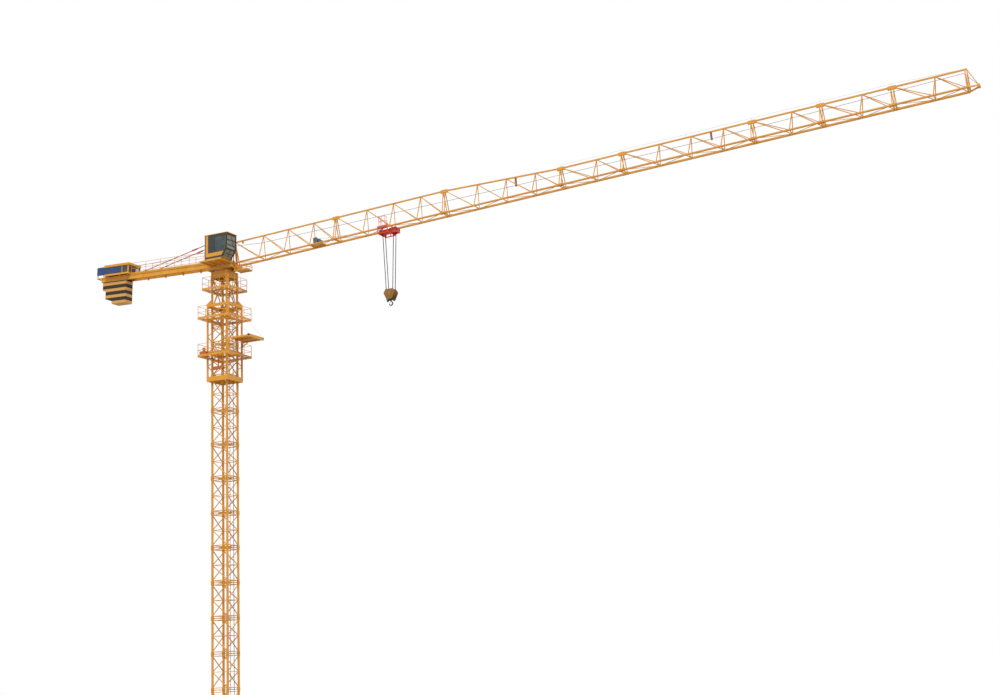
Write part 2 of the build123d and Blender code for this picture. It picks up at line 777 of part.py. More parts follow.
def trolley_wheels():
    start = jib_chord_spacing / 2 + jib_chord_width / 2 + 7
    end = start - 7 + rail_width + 12 - seat_gap
    axle = -jib_chord_width / 2 + rail_thickness + seat_gap + wheel_radius
    wheels = []
    for x in (trolley_rear + wheel_inset, trolley_split - wheel_inset):
        for side in (-1, 1):
            wheel = rod((x, side * start, axle), (x, side * (start + wheel_width), axle), wheel_radius, 12)
            stub = rod((x, side * start, axle), (x, side * end, axle), 14, 6)
            wheels.append(wheel + stub)
    return wheels


def sheave(radius, width, axle_radius, axle_length):
    """Sheave as deep as its rope groove, with its axle along Y."""
    wheel = rod((0, -width / 2, 0), (0, width / 2, 0), radius - sheave_groove, 16)
    return wheel + rod((0, -axle_length / 2, 0), (0, axle_length / 2, 0), axle_radius, 8)


def trolley_sheaves():
    shape = sheave(trolley_sheave_radius, sheave_width, 12, 2 * (26 - seat_gap))
    return [Pos(*centre) * shape for centre in trolley_sheave_centres]


def trolley_basket():
    outer = -(jib_chord_spacing / 2 + jib_chord_width / 2 + rail_width + 24 + seat_gap)
    rear, front = basket_rear, trolley_split - 10
    width, post, height = basket_width, 14, basket_height
    pieces = [box((rear, front), (outer - width, outer), (-60, -45))]
    far, near = outer - width + post / 2, outer - post / 2
    for x in (rear + post / 2, (rear + front) / 2, front - post / 2):
        pieces.append(bar((x, far, -50), (x, far, height), post))
    for z in (height / 2, height - post / 2):
        pieces.append(bar((rear, far, z), (front, far, z), post))
        for x in (rear + post / 2, front - post / 2):
            pieces.append(bar((x, far, z), (x, near + post / 2, z), post))
    for x in (rear + post / 2, front - post / 2):
        pieces.append(bar((x, near, -50), (x, near, height), post))
    return join(pieces)


def hoist_ropes():
    """Four falls from the trolley's sheaves down to the sheaves of the hook block."""
    upper_reach = trolley_sheave_radius - sheave_groove + rope_radius + rope_gap
    lower_reach = block_sheave_radius - sheave_groove + rope_radius + rope_gap
    ropes = []
    for x, y, z in trolley_sheave_centres:
        centre = (trolley_place * Pos(x, y, z)).position
        side = 1 if x > 0 else -1
        upper = (centre.X - side * upper_reach, y, centre.Z)
        lower = (block_place.position.X + side * lower_reach, y, block_place.position.Z)
        ropes.append(rod(upper, lower, rope_radius, 8))
    return ropes


# Hook block: three cheek plates and the crosshead that carries the hook
def block_cheeks():
    outline = [(-250, 20), (-160, 175), (160, 175), (250, 20), (125, -235), (-125, -235)]
    face = Plane.XZ * make_face(Polyline(*outline, close=True))
    reach = block_sheave_offset + 45
    pieces = []
    for y in (-reach, 0, reach):
        pieces.append(Pos(0, y + 8, 0) * extrude(face, amount=16))
    pieces.append(box((-70, 70), (-reach, reach), (-235, -175)))
    shank_hole = rod((0, 0, -250), (0, 0, -150), hook_shank_radius * 1.08, 12)
    nut_room = rod((0, 0, -175), (0, 0, -135), 56, 6)
    return join(pieces) - shank_hole - nut_room


def block_sheaves():
    inner = 8 + seat_gap
    outer = block_sheave_offset + 37 - seat_gap
    pieces = []
    for side in (-1, 1):
        y = side * block_sheave_offset
        shape = Pos(0, y, 0) * sheave(block_sheave_radius, sheave_width, 16, sheave_width + 2)
        pieces.append(shape + rod((0, side * inner, 0), (0, side * outer, 0), 16, 8))
    return pieces


# Hook: a shank that turns in the block, and a bowl with a thick back and a tapering tip
def crane_hook():
    bowl_centre = -400
    shank = rod((0, 0, bowl_centre + 80), (0, 0, -150), hook_shank_radius, 12)
    nut = rod((0, 0, -174.7), (0, 0, -150), 48, 6)
    plane = Plane(origin=(0, 0, bowl_centre), x_dir=(1, 0, 0), z_dir=(0, -1, 0))
    throat = make_face(Polyline((0, 0), (-40, 150), (-150, 150), (-150, 30), close=True))
    bowl = Pos(-8, 6) * RegularPolygon(54, 16, major_radius=False)
    profile = RegularPolygon(96, 24) - bowl - throat
    return join([shank, nut, extrude(plane * profile, amount=20, both=True)])


mast_foot = base_beam_height + mast_foot_height
mast_top = mast_foot + mast_sections * section_height
cage_height = cage_drop + cage_rise
cage_foot = mast_top - cage_drop
window_low = lower_walkway_height + 200
window_high = cage_height - upper_walkway_drop
support_top = mast_top + support_lattice_height + support_box_height + support_flange_thickness
table_foot = support_top + ring_height + table_clearance
head_top = table_foot + table_depth + head_height
jib_frame = Pos(0, 0, table_foot + jib_pin_height) * Rot(0, -jib_angle, 0)
counter_root = -table_half_length - seat_gap - counter_beam_depth / 2 * sin(radians(counter_angle))
counter_frame = Pos(counter_root, 0, table_foot + counter_height) * Rot(0, counter_angle, 0)
weights_length = sum(thickness + weight_gap for thickness, share in weight_blocks)
housing_front = counter_length - housing_setback - housing_length
trolley_place = jib_frame * Pos(trolley_station, 0, 0)
block_place = Pos(trolley_place.position.X, 0, trolley_place.position.Z - block_drop)
sheave_station = fall_spacing / 2 + trolley_sheave_radius - sheave_groove + rope_radius + rope_gap
sheave_drop = -jib_chord_width / 2 - trolley_depth + 150
trolley_sheave_centres = [
    (x, y, sheave_drop)
    for x in (-sheave_station, sheave_station)
    for y in (-block_sheave_offset, block_sheave_offset)
]


save("base_cross_frame", base_cross_frame())
section = mast_section()
for number in range(mast_sections):
    save(f"mast_section_{number + 1:02d}", Pos(0, 0, mast_foot + number * section_height) * section)
save("mast_ladder", Compound(mast_ladder()))
save("climbing_cage", Pos(0, 0, cage_foot) * climbing_cage())
cage_outer = cage_leg_spacing / 2 + cage_leg_width / 2
for name, height in (("lower", lower_walkway_height), ("upper", window_high)):
    place = Pos(0, 0, cage_foot + height)
    reach = cage_outer + walkway_width
    floors = walkway_floor(cage_outer, reach, walkway_thickness)
    save(f"{name}_walkway", place * Compound(floors))
    save(f"{name}_walkway_rails", place * Compound(ring_rails(reach, walkway_rail_height, 4)))
save("entry_platform", Pos(0, 0, cage_foot + lower_walkway_height + entry_platform_rise) * entry_platform())
save("climbing_jack", Pos(0, 0, cage_foot) * climbing_jack())
save("slewing_support", Pos(0, 0, mast_top) * slewing_support())
place = Pos(0, 0, mast_top + support_platform_height)
floors = walkway_floor(leg_spacing / 2 + leg_width / 2, support_platform_reach, walkway_thickness)
save("support_platform", place * Compound(floors))
rails = ring_rails(support_platform_reach, walkway_rail_height, 4)
save("support_platform_rails", place * Compound(rails))
fixed_ring = ring(ring_outer_radius, (ring_outer_radius + ring_inner_radius) / 2, ring_height)
save("slewing_ring", Pos(0, 0, support_top) * fixed_ring)

save("turning_ring", Pos(0, 0, support_top) * turning_ring())
save("slewing_table", Pos(0, 0, table_foot) * slewing_table())
save("slewing_drives", Pos(0, 0, table_foot) * Compound(slewing_drives()))
save("tower_head", Pos(0, 0, table_foot) * tower_head())
cab_place = Pos(0, 0, table_foot + table_depth + cab_rise)
save("cab_shell", cab_place * cab_shell())
save("cab_glass", cab_place * cab_glass())
save("cab_support", cab_place * cab_support())
save("slewing_platform", Pos(0, 0, table_foot - platform_drop) * slewing_platform())
spans = jib_sections()
for number, (start, end) in enumerate(spans):
    save(f"jib_section_{number + 1}", jib_frame * jib_section(start, end))
save("jib_tip", jib_frame * jib_tip(spans[-1][1]))
save("trolley_winch", jib_frame * trolley_winch(spans[0][1] - trolley_winch_setback))
save("counter_jib", counter_frame * counter_jib())
save("counter_jib_walkway", counter_frame * counter_walkway())
save("counter_jib_rails", counter_frame * Compound(counter_rails()))
save("counter_jib_ties", Compound(counter_ties()))
save("counterweights", counter_frame * Compound(counterweights()))
save("hoist_winch", counter_frame * hoist_winch())
save("winch_housing", counter_frame * winch_housing())
save("tail_board", counter_frame * tail_board())

save("trolley_frame", trolley_place * trolley_frame())
save("trolley_wheels", trolley_place * Compound(trolley_wheels()))
save("trolley_sheaves", trolley_place * Compound(trolley_sheaves()))
save("trolley_basket", trolley_place * trolley_basket())
save("hoist_ropes", Compound(hoist_ropes()))
save("hook_block", block_place * block_cheeks())
save("block_sheaves", block_place * Compound(block_sheaves()))
save("hook", block_place * crane_hook())
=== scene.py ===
# %% [markdown]
# # A flat-top tower crane at half size
#
# The crane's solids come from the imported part, already in place. This lesson dresses them: it gives every
# solid a finish, and it adds what is too fine for the solids, such as rungs, gratings, bolts and ropes.
# Lengths are in metres of the half-size model, so a real length is halved before it is used here.

# %% Frame and measures
import math
import bpy
from mathutils import Matrix, Vector


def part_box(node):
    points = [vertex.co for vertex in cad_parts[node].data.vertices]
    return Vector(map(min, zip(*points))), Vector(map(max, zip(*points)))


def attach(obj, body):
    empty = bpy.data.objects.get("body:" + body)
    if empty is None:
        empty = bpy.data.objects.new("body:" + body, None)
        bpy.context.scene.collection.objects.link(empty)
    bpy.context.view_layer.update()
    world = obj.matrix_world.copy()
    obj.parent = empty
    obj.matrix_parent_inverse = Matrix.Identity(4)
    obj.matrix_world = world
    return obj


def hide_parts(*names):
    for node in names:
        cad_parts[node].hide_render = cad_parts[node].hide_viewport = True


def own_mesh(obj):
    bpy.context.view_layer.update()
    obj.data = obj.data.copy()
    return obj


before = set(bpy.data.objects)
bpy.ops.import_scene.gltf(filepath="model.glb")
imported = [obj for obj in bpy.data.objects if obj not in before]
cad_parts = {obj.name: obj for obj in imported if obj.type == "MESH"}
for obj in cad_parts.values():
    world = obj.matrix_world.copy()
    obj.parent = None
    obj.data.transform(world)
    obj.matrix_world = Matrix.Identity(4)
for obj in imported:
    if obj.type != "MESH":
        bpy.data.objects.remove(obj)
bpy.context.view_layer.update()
MM = 0.001

# %% [markdown]
# ## Where things are
#
# A detail has to sit on its solid, so the main places are read from the solids or follow the crane's own
# driving sizes: the mast's section height and leg spacing, the jib's slope and the counter-jib's slope. The
# jib and the counter-jib get a matrix each, and their details are drawn level and then turned into place.

# %% Places
leg_spacing, leg_width = 732 * MM, 68 * MM
section_height, section_count = 1400 * MM, 12
mast_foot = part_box("mast_section_01")[0].z
joint_heights = [mast_foot + n * section_height for n in range(1, section_count)]
cage_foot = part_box("climbing_cage")[0].z
support_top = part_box("slewing_ring")[0].z
table_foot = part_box("turning_ring")[1].z
chord_spacing = 480 * MM
jib_start, jib_slope = 560 * MM, math.radians(-2.8)
jib_depth_root, jib_depth_tip = 965 * MM, 725 * MM
jib_place = Matrix.Translation((0, 0, table_foot + 142 * MM)) @ Matrix.Rotation(jib_slope, 4, "Y")
counter_length, counter_slope = 5760 * MM, math.radians(2.17)
counter_top, counter_outer = 110 * MM, 190 * MM
housing_front = -4140 * MM
counter_root = Vector((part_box("slewing_table")[0].x - 4.465 * MM, 0, table_foot + 275 * MM))
counter_place = Matrix.Translation(counter_root) @ Matrix.Rotation(counter_slope, 4, "Y")
trolley_s, block_drop = 7990 * MM, 2690 * MM
trolley_place = jib_place @ Matrix.Translation((trolley_s, 0, 0))
block_centre = Vector((trolley_place.translation.x, 0, trolley_place.translation.z - block_drop))
block_place = Matrix.Translation(block_centre)
section_ends = [jib_start]
for length in (5, 5, 5, 2.5, 5, 2.5, 2.5, 2.5):
    section_ends.append(section_ends[-1] + length)
jib_end = section_ends[-1]
print("mast from", round(mast_foot, 3), "m,", section_count, "sections | jib to", round(jib_end, 3), "m")

# %% [markdown]
# ## One function for colour, one for nodes
#
# Colours are written as sRGB hex codes, as a paint card or a photo editor shows them. Shaders count in linear
# light, so one function turns them. Another small function adds any node with its settings and links, in a
# shader as well as in a geometry tree, which keeps each material and each tree short enough to read.

# %% Colour and node helpers
def linear(code):
    """sRGB hex to linear RGBA."""
    channels = [int(code[i:i + 2], 16) / 255 for i in (1, 3, 5)]
    return tuple([c / 12.92 if c <= 0.04045 else ((c + 0.055) / 1.055) ** 2.4 for c in channels] + [1.0])


def add(tree, kind, inputs, **settings):
    """A node with its settings; an input's value may be a number, a vector or another node's output."""
    made = tree.nodes.new(kind)
    for name, value in settings.items():
        setattr(made, name, value)
    for name, value in inputs.items():
        if isinstance(value, bpy.types.NodeSocket):
            tree.links.new(value, made.inputs[name])
        else:
            made.inputs[name].default_value = value
    return made


print("paint yellow in linear light:", [round(v, 3) for v in linear("#D8931F")])

# %% [markdown]
# ## The steps that materials share
#
# Each material starts empty. Its pattern is noise over the object's own coordinates, with patches of a size in
# metres, and it mixes two colours with it. At its end stand a surface shader and the output.

# %% Material helpers
def blank(holder):
    """Empty node tree of a new material or world."""
    holder.use_nodes = True
    holder.node_tree.nodes.clear()
    return holder, holder.node_tree


def math_node(tree, operation, first, second=0.0):
    return add(tree, "ShaderNodeMath", {0: first, 1: second}, operation=operation).outputs[0]


def noise(tree, patch, detail):
    """Noise whose patches have the given size in metres."""
    place = add(tree, "ShaderNodeTexCoord", {})
    made = add(tree, "ShaderNodeTexNoise", {"Vector": place.outputs["Object"], "Scale": 1 / patch, "Detail": detail})
    return made.outputs["Fac"]


def mixed(tree, share, first, second):
    """Colour between two, each one a hex code or the output of a node."""
    first, second = (linear(c) if isinstance(c, str) else c for c in (first, second))
    return add(tree, "ShaderNodeMix", {"Factor": share, 6: first, 7: second}, data_type="RGBA").outputs[2]


def along(tree, vector, direction):
    """Part of a vector that lies along a direction."""
    return add(tree, "ShaderNodeVectorMath", {0: vector, 1: direction}, operation="DOT_PRODUCT").outputs["Value"]


def surface(tree, inputs, kind="Principled"):
    shader = add(tree, "ShaderNodeBsdf" + kind, inputs)
    add(tree, "ShaderNodeOutputMaterial", {"Surface": shader.outputs[0]})


print("material helpers ready")

# %% [markdown]
# ## Painted steel
#
# Crane steel is sprayed with a two-pack enamel and then stands outdoors. To the eye that is a satin coat whose
# colour wanders a little, with small brown stains where water stands. Two noises do it: a broad one that fades
# the paint over about half a metre, and a fine one of a few centimetres whose peaks become the stains.

# %% Paint
def painted(name, coat, faded, stain, roughness=0.45, stain_from=0.62):
    """Outdoor enamel: coat and faded coat mixed over 500 mm, stains of about 40 mm on top."""
    material, tree = blank(bpy.data.materials.new(name))
    fade = add(tree, "ShaderNodeMapRange", {"Value": noise(tree, 0.5, 2.0), "From Min": 0.35, "From Max": 0.7})
    spots = add(tree, "ShaderNodeMapRange", {"Value": noise(tree, 0.04, 4.0), "From Min": stain_from,
                                             "From Max": stain_from + 0.1, "To Max": 0.5})
    body = mixed(tree, fade.outputs[0], coat, faded)
    worn = mixed(tree, spots.outputs[0], body, stain)
    surface(tree, {"Base Color": worn, "Roughness": roughness, "IOR": 1.5})
    return material


crane_paint = painted("yellow_enamel_on_steel", "#D8931F", "#DFA03C", "#94601A", roughness=0.5)
red_paint = painted("red_enamel_on_steel", "#DE3226", "#E04A3A", "#8A2A1C")
tie_paint = painted("crimson_enamel", "#B0243A", "#BA3A4A", "#6A1824")
rose_paint = painted("faded_red_enamel", "#DA6A60", "#E08478", "#9A483C")
jack_paint = painted("orange_red_enamel", "#B9581C", "#C46A30", "#5E2A10")
machine_paint = painted("grey_machine_enamel", "#55585A", "#636567", "#33302C")
block_paint = painted("worn_ochre_enamel", "#84591A", "#966B2C", "#1C150D", stain_from=0.58)
board_paint = painted("blue_sheet_enamel", "#1E3A6A", "#284676", "#162844")
cab_dark = painted("black_trim_enamel", "#2E2F2E", "#373836", "#1F1E1C")
print("nine paints, the first is", crane_paint.name)

# %% [markdown]
# ## Bare metal, rope and rubber
#
# Zinc from a hot bath dries to a dull, slightly blotchy grey, and the mast's ladder has rusted brown over it.
# These are metallic, and keep the metal's default index of refraction. Forging scale, the black grease on a
# wire rope and rubber are no bare metal to the eye, so they take the coated shader.

# %% Metal
def metal(name, tone, other, roughness, patch):
    """Bare metal whose tone wanders over patches of the given size in metres."""
    material, tree = blank(bpy.data.materials.new(name))
    tint = mixed(tree, noise(tree, patch, 3.0), tone, other)
    surface(tree, {"Base Color": tint, "Metallic": 1.0, "Roughness": roughness})
    return material


zinc = metal("hot_dip_zinc", "#A9ACAD", "#8E9294", 0.5, 0.03)
ladder_zinc = metal("rusted_zinc", "#B98A5A", "#96704A", 0.6, 0.03)
machined = metal("machined_steel", "#8C8E90", "#A2A4A5", 0.3, 0.01)
rope_wire = painted("greased_wire_rope", "#0E0E0F", "#161617", "#080808", roughness=0.8)
forged = painted("forged_black_steel", "#1A1A1A", "#262523", "#100E0C", roughness=0.75)
rubber = painted("black_rubber", "#242424", "#2B2B2A", "#1A1A1A", roughness=0.8)
print("metals:", zinc.name, ladder_zinc.name, machined.name, "| coated:", rope_wire.name, forged.name, rubber.name)

# %% [markdown]
# ## Cab glass
#
# Cab panes are tinted safety glass. The side panes are coloured dark, and the front ones, which face along the jib,
# are coloured pale as a painted reflection of the bright sky. One shader does both: the panes that face +X take the
# pale colour. A broad noise of 250 mm paints lighter patches on all panes, a painted reflection of the uneven sky.

# %% Glass
glass, tree = blank(bpy.data.materials.new("tinted_safety_glass"))
geometry = add(tree, "ShaderNodeNewGeometry", {})
facing = along(tree, geometry.outputs["True Normal"], (1.0, 0.0, 0.0))
# Panes that face +X get the pale colour, a painted reflection of the sky.
front = math_node(tree, "GREATER_THAN", facing, 0.5)
# Painted reflection: broad noise that lightens the panes in patches.
painted_sky_reflection = noise(tree, 0.25, 1.0)
side_tint_and_painted_reflection, front_tint_and_painted_reflection = mixed(tree, painted_sky_reflection, "#1B2728", "#5E7678"), mixed(tree, painted_sky_reflection, "#5E665C", "#B4B8A6")
surface(tree, {"Base Color": mixed(tree, front, side_tint_and_painted_reflection, front_tint_and_painted_reflection), "Roughness": 0.05, "IOR": 1.52,
               "Transmission Weight": 0.35})
print("glass:", glass.name)

# %% [markdown]
# ## Striped concrete
#
# The counterweights are cast concrete slabs, painted with warning stripes that run level. The stripe is a
# square wave along the slab's own upright, which leans with the counter-jib: the dot product of the object
# coordinates with that upright counts in metres, from just under the lowest slab, and each pair of stripes is
# 280 mm high. The lowest stripe is light and takes in the undersides.

# %% Striped slabs
stripe_pair, light_share = 280 * MM, 0.45
slabs, tree = blank(bpy.data.materials.new("striped_painted_concrete"))
upright = counter_place.to_3x3() @ Vector((0, 0, 1))
slab_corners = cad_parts["counterweights"].data.vertices
slab_foot = min(corner.co.dot(upright) for corner in slab_corners) - 5 * MM
place = add(tree, "ShaderNodeTexCoord", {})
height = math_node(tree, "SUBTRACT", along(tree, place.outputs["Object"], tuple(upright)), slab_foot)
wave = math_node(tree, "FRACT", math_node(tree, "DIVIDE", height, stripe_pair))
dark = math_node(tree, "GREATER_THAN", wave, light_share)
grain = noise(tree, 0.06, 5.0)
light_stripe, dark_stripe = mixed(tree, grain, "#D9A048", "#C8975A"), mixed(tree, grain, "#221505", "#33230F")
surface(tree, {"Base Color": mixed(tree, dark, light_stripe, dark_stripe), "Roughness": 0.7})
print("stripes start at", round(slab_foot, 3), "m along the slab's upright")

# %% [markdown]
# ## Finishes on the solids
#
# Every solid keeps its shape and gets the finish of its real piece. Most of the crane is the same yellow, so
# the table names only the pieces that differ. The trolley winch is grey but stands on a yellow tray, so its
# lowest faces take the yellow as a second finish.

# %% Dress the solids
other_finish = {
    "mast_ladder": ladder_zinc, "counter_jib_walkway": zinc, "trolley_wheels": machined, "hook": forged,
    "slewing_drives": block_paint, "hook_block": block_paint, "trolley_winch": machine_paint,
    "hoist_winch": machine_paint, "trolley_sheaves": machine_paint, "block_sheaves": machine_paint,
    "counter_jib_ties": tie_paint, "trolley_frame": red_paint, "trolley_basket": rose_paint,
    "climbing_jack": jack_paint, "cab_glass": glass, "hoist_ropes": rope_wire, "counterweights": slabs,
    "tail_board": board_paint,
}
for name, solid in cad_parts.items():
    solid.data.materials.clear()
    solid.data.materials.append(other_finish.get(name, crane_paint))
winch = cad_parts["trolley_winch"]
winch.data.materials.append(crane_paint)
level_jib = jib_place.inverted() @ winch.matrix_world
tray_top = 33 * MM
for face in winch.data.polygons:
    if all((level_jib @ winch.data.vertices[number].co).z < tray_top for number in face.vertices):
        face.material_index = 1
print("dressed", len(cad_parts), "solids,", len(other_finish), "of them not in yellow")

# %% [markdown]
# ## Small parts from corners
#
# Straight steel is most of what is added, so one function draws any number of square bars into one mesh and
# another any number of round rods. Sheaves and rollers are turned on a lathe, one outline revolved round the
# axle. Hooks and hoses are a round section led along a path. All of them are rings of points with faces
# between, which one function makes, so that every face looks outwards.

# %% Bars, rods, lathe, sweep and plates
def skinned(name, bodies, material, place=Matrix(), closed=False):
    """One mesh of several bodies; each is a list of rings of points that turn to the right along it."""
    corners, faces = [], []
    for rings in bodies:
        first, sides = len(corners), len(rings[0])
        corners += [place @ Vector(point) for ring in rings for point in ring]
        for band in range(len(rings) if closed else len(rings) - 1):
            a, b = first + band * sides, first + (band + 1) % len(rings) * sides
            faces += [(a + n, a + (n + 1) % sides, b + (n + 1) % sides, b + n) for n in range(sides)]
        if not closed:
            faces += [tuple(reversed(range(first, first + sides))), tuple(range(len(corners) - sides, len(corners)))]
    mesh = bpy.data.meshes.new(name)
    mesh.from_pydata(corners, [], faces)
    mesh.materials.append(material)
    mesh.validate()
    piece = bpy.data.objects.new(name, mesh)
    bpy.context.scene.collection.objects.link(piece)
    return piece


def circle(sides, way=1):
    """Points of a unit circle, which turn to the right or, with way -1, to the left."""
    turns = [way * 2 * math.pi * number / sides for number in range(sides)]
    return [(math.cos(turn), math.sin(turn)) for turn in turns]


def across(run):
    """Two directions square to a run, the first one level."""
    axis = run.normalized()
    side = Vector((0, 1, 0)) if abs(axis.z) > 0.99 else Vector((0, 0, 1)).cross(axis).normalized()
    return side, axis.cross(side)


def bars(name, runs, material, place=Matrix()):
    """Rectangular bars; each run is start, end, width across and depth up."""
    bodies = []
    for start, end, width, depth in runs:
        side, up = across(Vector(end) - Vector(start))
        bodies.append([[Vector(centre) + side * (u * width / 2) + up * (v * depth / 2)
                        for u, v in ((-1, -1), (1, -1), (1, 1), (-1, 1))] for centre in (start, end)])
    return skinned(name, bodies, material, place)


def box(x, y, z):
    """A block between two limits for each axis, as a bar's run along X."""
    (x0, x1), (y0, y1), (z0, z1) = sorted(x), sorted(y), sorted(z)
    return (x0, (y0 + y1) / 2, (z0 + z1) / 2), (x1, (y0 + y1) / 2, (z0 + z1) / 2), y1 - y0, z1 - z0


def rods(name, runs, material, sides=8, place=Matrix()):
    """Round rods; each run is start, end and radius."""
    bodies = []
    for start, end, radius in runs:
        side, up = across(Vector(end) - Vector(start))
        bodies.append([[Vector(centre) + side * (radius * c) + up * (radius * s) for c, s in circle(sides)]
                       for centre in (start, end)])
    return skinned(name, bodies, material, place)


def lathe(name, outline, centres, material, sides=28, place=Matrix()):
    """Turned parts with their axle along Y; the outline is pairs of distance along Y and radius."""
    bodies = [[[Vector(centre) + Vector((radius * c, distance, radius * s)) for c, s in circle(sides, -1)]
               for distance, radius in outline] for centre in centres]
    return skinned(name, bodies, material, place)


def sweep(name, path, halves, material, sides=12, place=Matrix()):
    """Tube along a path; halves is its radius, or for each point the half widths in the path's plane and along Y."""
    path, rings = [Vector(point) for point in path], []
    for number, point in enumerate(path):
        run = (path[min(number + 1, len(path) - 1)] - path[max(number - 1, 0)]).normalized()
        side = Vector((0, 1, 0)) if abs(run.y) < 0.9 else Vector((0, 0, 1))
        side = (side - run * side.dot(run)).normalized()
        wide, deep = halves[number] if isinstance(halves, list) else (halves, halves)
        rings.append([point + side.cross(run) * (wide * c) + side * (deep * s) for c, s in circle(sides)])
    return skinned(name, [rings], material, place)


def plates(name, outlines, y, material, place=Matrix()):
    """Flat plates in the XZ plane between two Y limits; each outline goes round once."""
    bodies = [[[(x, depth, z) for x, z in reversed(outline)] for depth in y] for outline in outlines]
    return skinned(name, bodies, material, place)


print("shapes ready")

# %% [markdown]
# ## Fastening a piece
#
# Each finished piece rides on the body that carries it on the real crane, which for most is the upperworks.


def keep(piece, body="upperworks"):
    """Fasten a finished piece to its body."""
    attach(piece, body)
    print(" ", piece.name, len(piece.data.polygons), "faces on", body)
    return piece


def joined(name, pieces):
    """Several meshes as one piece."""
    target = pieces[0]
    with bpy.context.temp_override(active_object=target, selected_editable_objects=pieces):
        bpy.ops.object.join()
    target.name = target.data.name = name
    return target


# %% [markdown]
# ## Trees that repeat a small part
#
# Rungs, sleeves, teeth and grating bars are one small shape many times over. A geometry tree says it once: a line or
# ring of points, an instance on each, then Realize Instances so that they become plain mesh. The tree has named
# inputs, so the same tree makes rungs 150 mm apart and grating bars 45 mm apart.

# %% A row of blocks and a ring of blocks
SOCKETS = {int: "NodeSocketInt", float: "NodeSocketFloat", Vector: "NodeSocketVector"}


def new_tree(name, **inputs):
    """Tree with named inputs and a material; gives the tree and the outputs of its input node."""
    tree = bpy.data.node_groups.new(name, "GeometryNodeTree")
    tree.interface.new_socket("Geometry", in_out="OUTPUT", socket_type="NodeSocketGeometry")
    for label, kind in inputs.items():
        tree.interface.new_socket(label, in_out="INPUT", socket_type=SOCKETS[kind])
    tree.interface.new_socket("Material", in_out="INPUT", socket_type="NodeSocketMaterial")
    return tree, add(tree, "NodeGroupInput", {}).outputs


def close_tree(tree, given, points, shape, **more):
    """End of every tree: the shape on each point, as real geometry with its finish."""
    more.update({"Points": points.outputs[0], "Instance": shape.outputs[0]})
    copies = add(tree, "GeometryNodeInstanceOnPoints", more)
    real = add(tree, "GeometryNodeRealizeInstances", {"Geometry": copies.outputs[0]})
    finish = add(tree, "GeometryNodeSetMaterial", {"Geometry": real.outputs[0], "Material": given["Material"]})
    add(tree, "NodeGroupOutput", {"Geometry": finish.outputs[0]})


row_tree, given = new_tree("row_of_blocks", Count=int, Start=Vector, Step=Vector, Size=Vector)
line = add(row_tree, "GeometryNodeMeshLine", {"Count": given["Count"], "Start Location": given["Start"],
                                              "Offset": given["Step"]})
cube = add(row_tree, "GeometryNodeMeshCube", {"Size": given["Size"]})
close_tree(row_tree, given, line, cube)

ring_tree, given = new_tree("ring_of_blocks", Count=int, Radius=float, Size=Vector)
ring = add(ring_tree, "GeometryNodeMeshCircle", {"Vertices": given["Count"], "Radius": given["Radius"]})
spot = add(ring_tree, "GeometryNodeInputPosition", {})
turned = add(ring_tree, "FunctionNodeAlignRotationToVector", {"Vector": spot.outputs[0]}, axis="X")
cube = add(ring_tree, "GeometryNodeMeshCube", {"Size": given["Size"]})
close_tree(ring_tree, given, ring, cube, Rotation=turned.outputs[0])


def grown(name, tree, place=Matrix(), **values):
    """Let a tree make its mesh, then keep that mesh and drop the modifier."""
    piece = bpy.data.objects.new(name, bpy.data.meshes.new(name))
    bpy.context.scene.collection.objects.link(piece)
    modifier = piece.modifiers.new(name, "NODES")
    modifier.node_group = tree
    for item in tree.interface.items_tree:
        if item.in_out == "INPUT" and item.name in values:
            modifier[item.identifier] = values[item.name]
    graph = bpy.context.evaluated_depsgraph_get()
    mesh = bpy.data.meshes.new_from_object(piece.evaluated_get(graph), depsgraph=graph)
    piece.modifiers.clear()
    mesh.transform(place)
    piece.data = mesh
    return piece


print("trees:", row_tree.name, ring_tree.name)

# %% [markdown]
# ## Joints of the mast
#
# Mast sections are pinned leg to leg. Each leg ends in a thick sleeve with a flange, and the two sleeves of a
# joint read as one knot on the leg. Two rows of blocks per leg make the sleeves and the flanges, from the foot
# to the top, and two pins go through each knot.

# %% Mast knots and pins
half = leg_spacing / 2
leg_corners = [(-half, -half), (half, -half), (half, half), (-half, half)]
knots = []
for x, y in leg_corners:
    for size in ((0.086, 0.086, 0.19), (0.104, 0.104, 0.022)):
        knots.append(grown("knot", row_tree, Count=section_count - 1, Start=(x, y, joint_heights[0]),
                           Step=(0, 0, section_height), Size=size, Material=crane_paint))
keep(joined("mast_joint_sleeves", knots), "tower")
pin_radius, pin_reach, pin_offset = 0.013, 0.06, 0.055
pins = [((x, y - pin_reach, z + dz), (x, y + pin_reach, z + dz), pin_radius)
        for z in joint_heights for x, y in leg_corners for dz in (-pin_offset, pin_offset)]
keep(rods("mast_joint_pins", pins, machined), "tower")

# %% [markdown]
# ## Finer bracing of the mast
#
# Each side of a section has one thin tie at mid height, where the two braces of its K meet the leg. The ties
# are too fine for the solids, so four rows of blocks, one for each side, add them here. At each joint a level
# frame, a cross with a square round it, keeps the mast from going out of square. It leaves the ladder free.

# %% Mast ties
tie, tie_length = 0.022, leg_spacing - leg_width
tie_rows = (((0, -half), (tie_length, tie, tie)), ((0, half), (tie_length, tie, tie)),
            ((-half, 0), (tie, tie_length, tie)), ((half, 0), (tie, tie_length, tie)))
ties = [grown("tie", row_tree, Count=section_count, Start=(x, y, mast_foot + section_height / 2),
              Step=(0, 0, section_height), Size=size, Material=crane_paint) for (x, y), size in tie_rows]
keep(joined("mast_middle_ties", ties), "tower")
inner = half - leg_width / 2
frames = []
for z in joint_heights:
    square = [(inner, 0, z), (0, inner, z), (-inner, 0, z), (0, -inner, z)]
    lines = [((-inner, inner, z), (inner, -inner, z)), ((-inner, -inner, z), (inner, inner, z))]
    frames += [(start, end, tie, 0.03) for start, end in lines + list(zip(square, square[1:] + square[:1]))]
keep(bars("mast_joint_frames", frames, crane_paint), "tower")

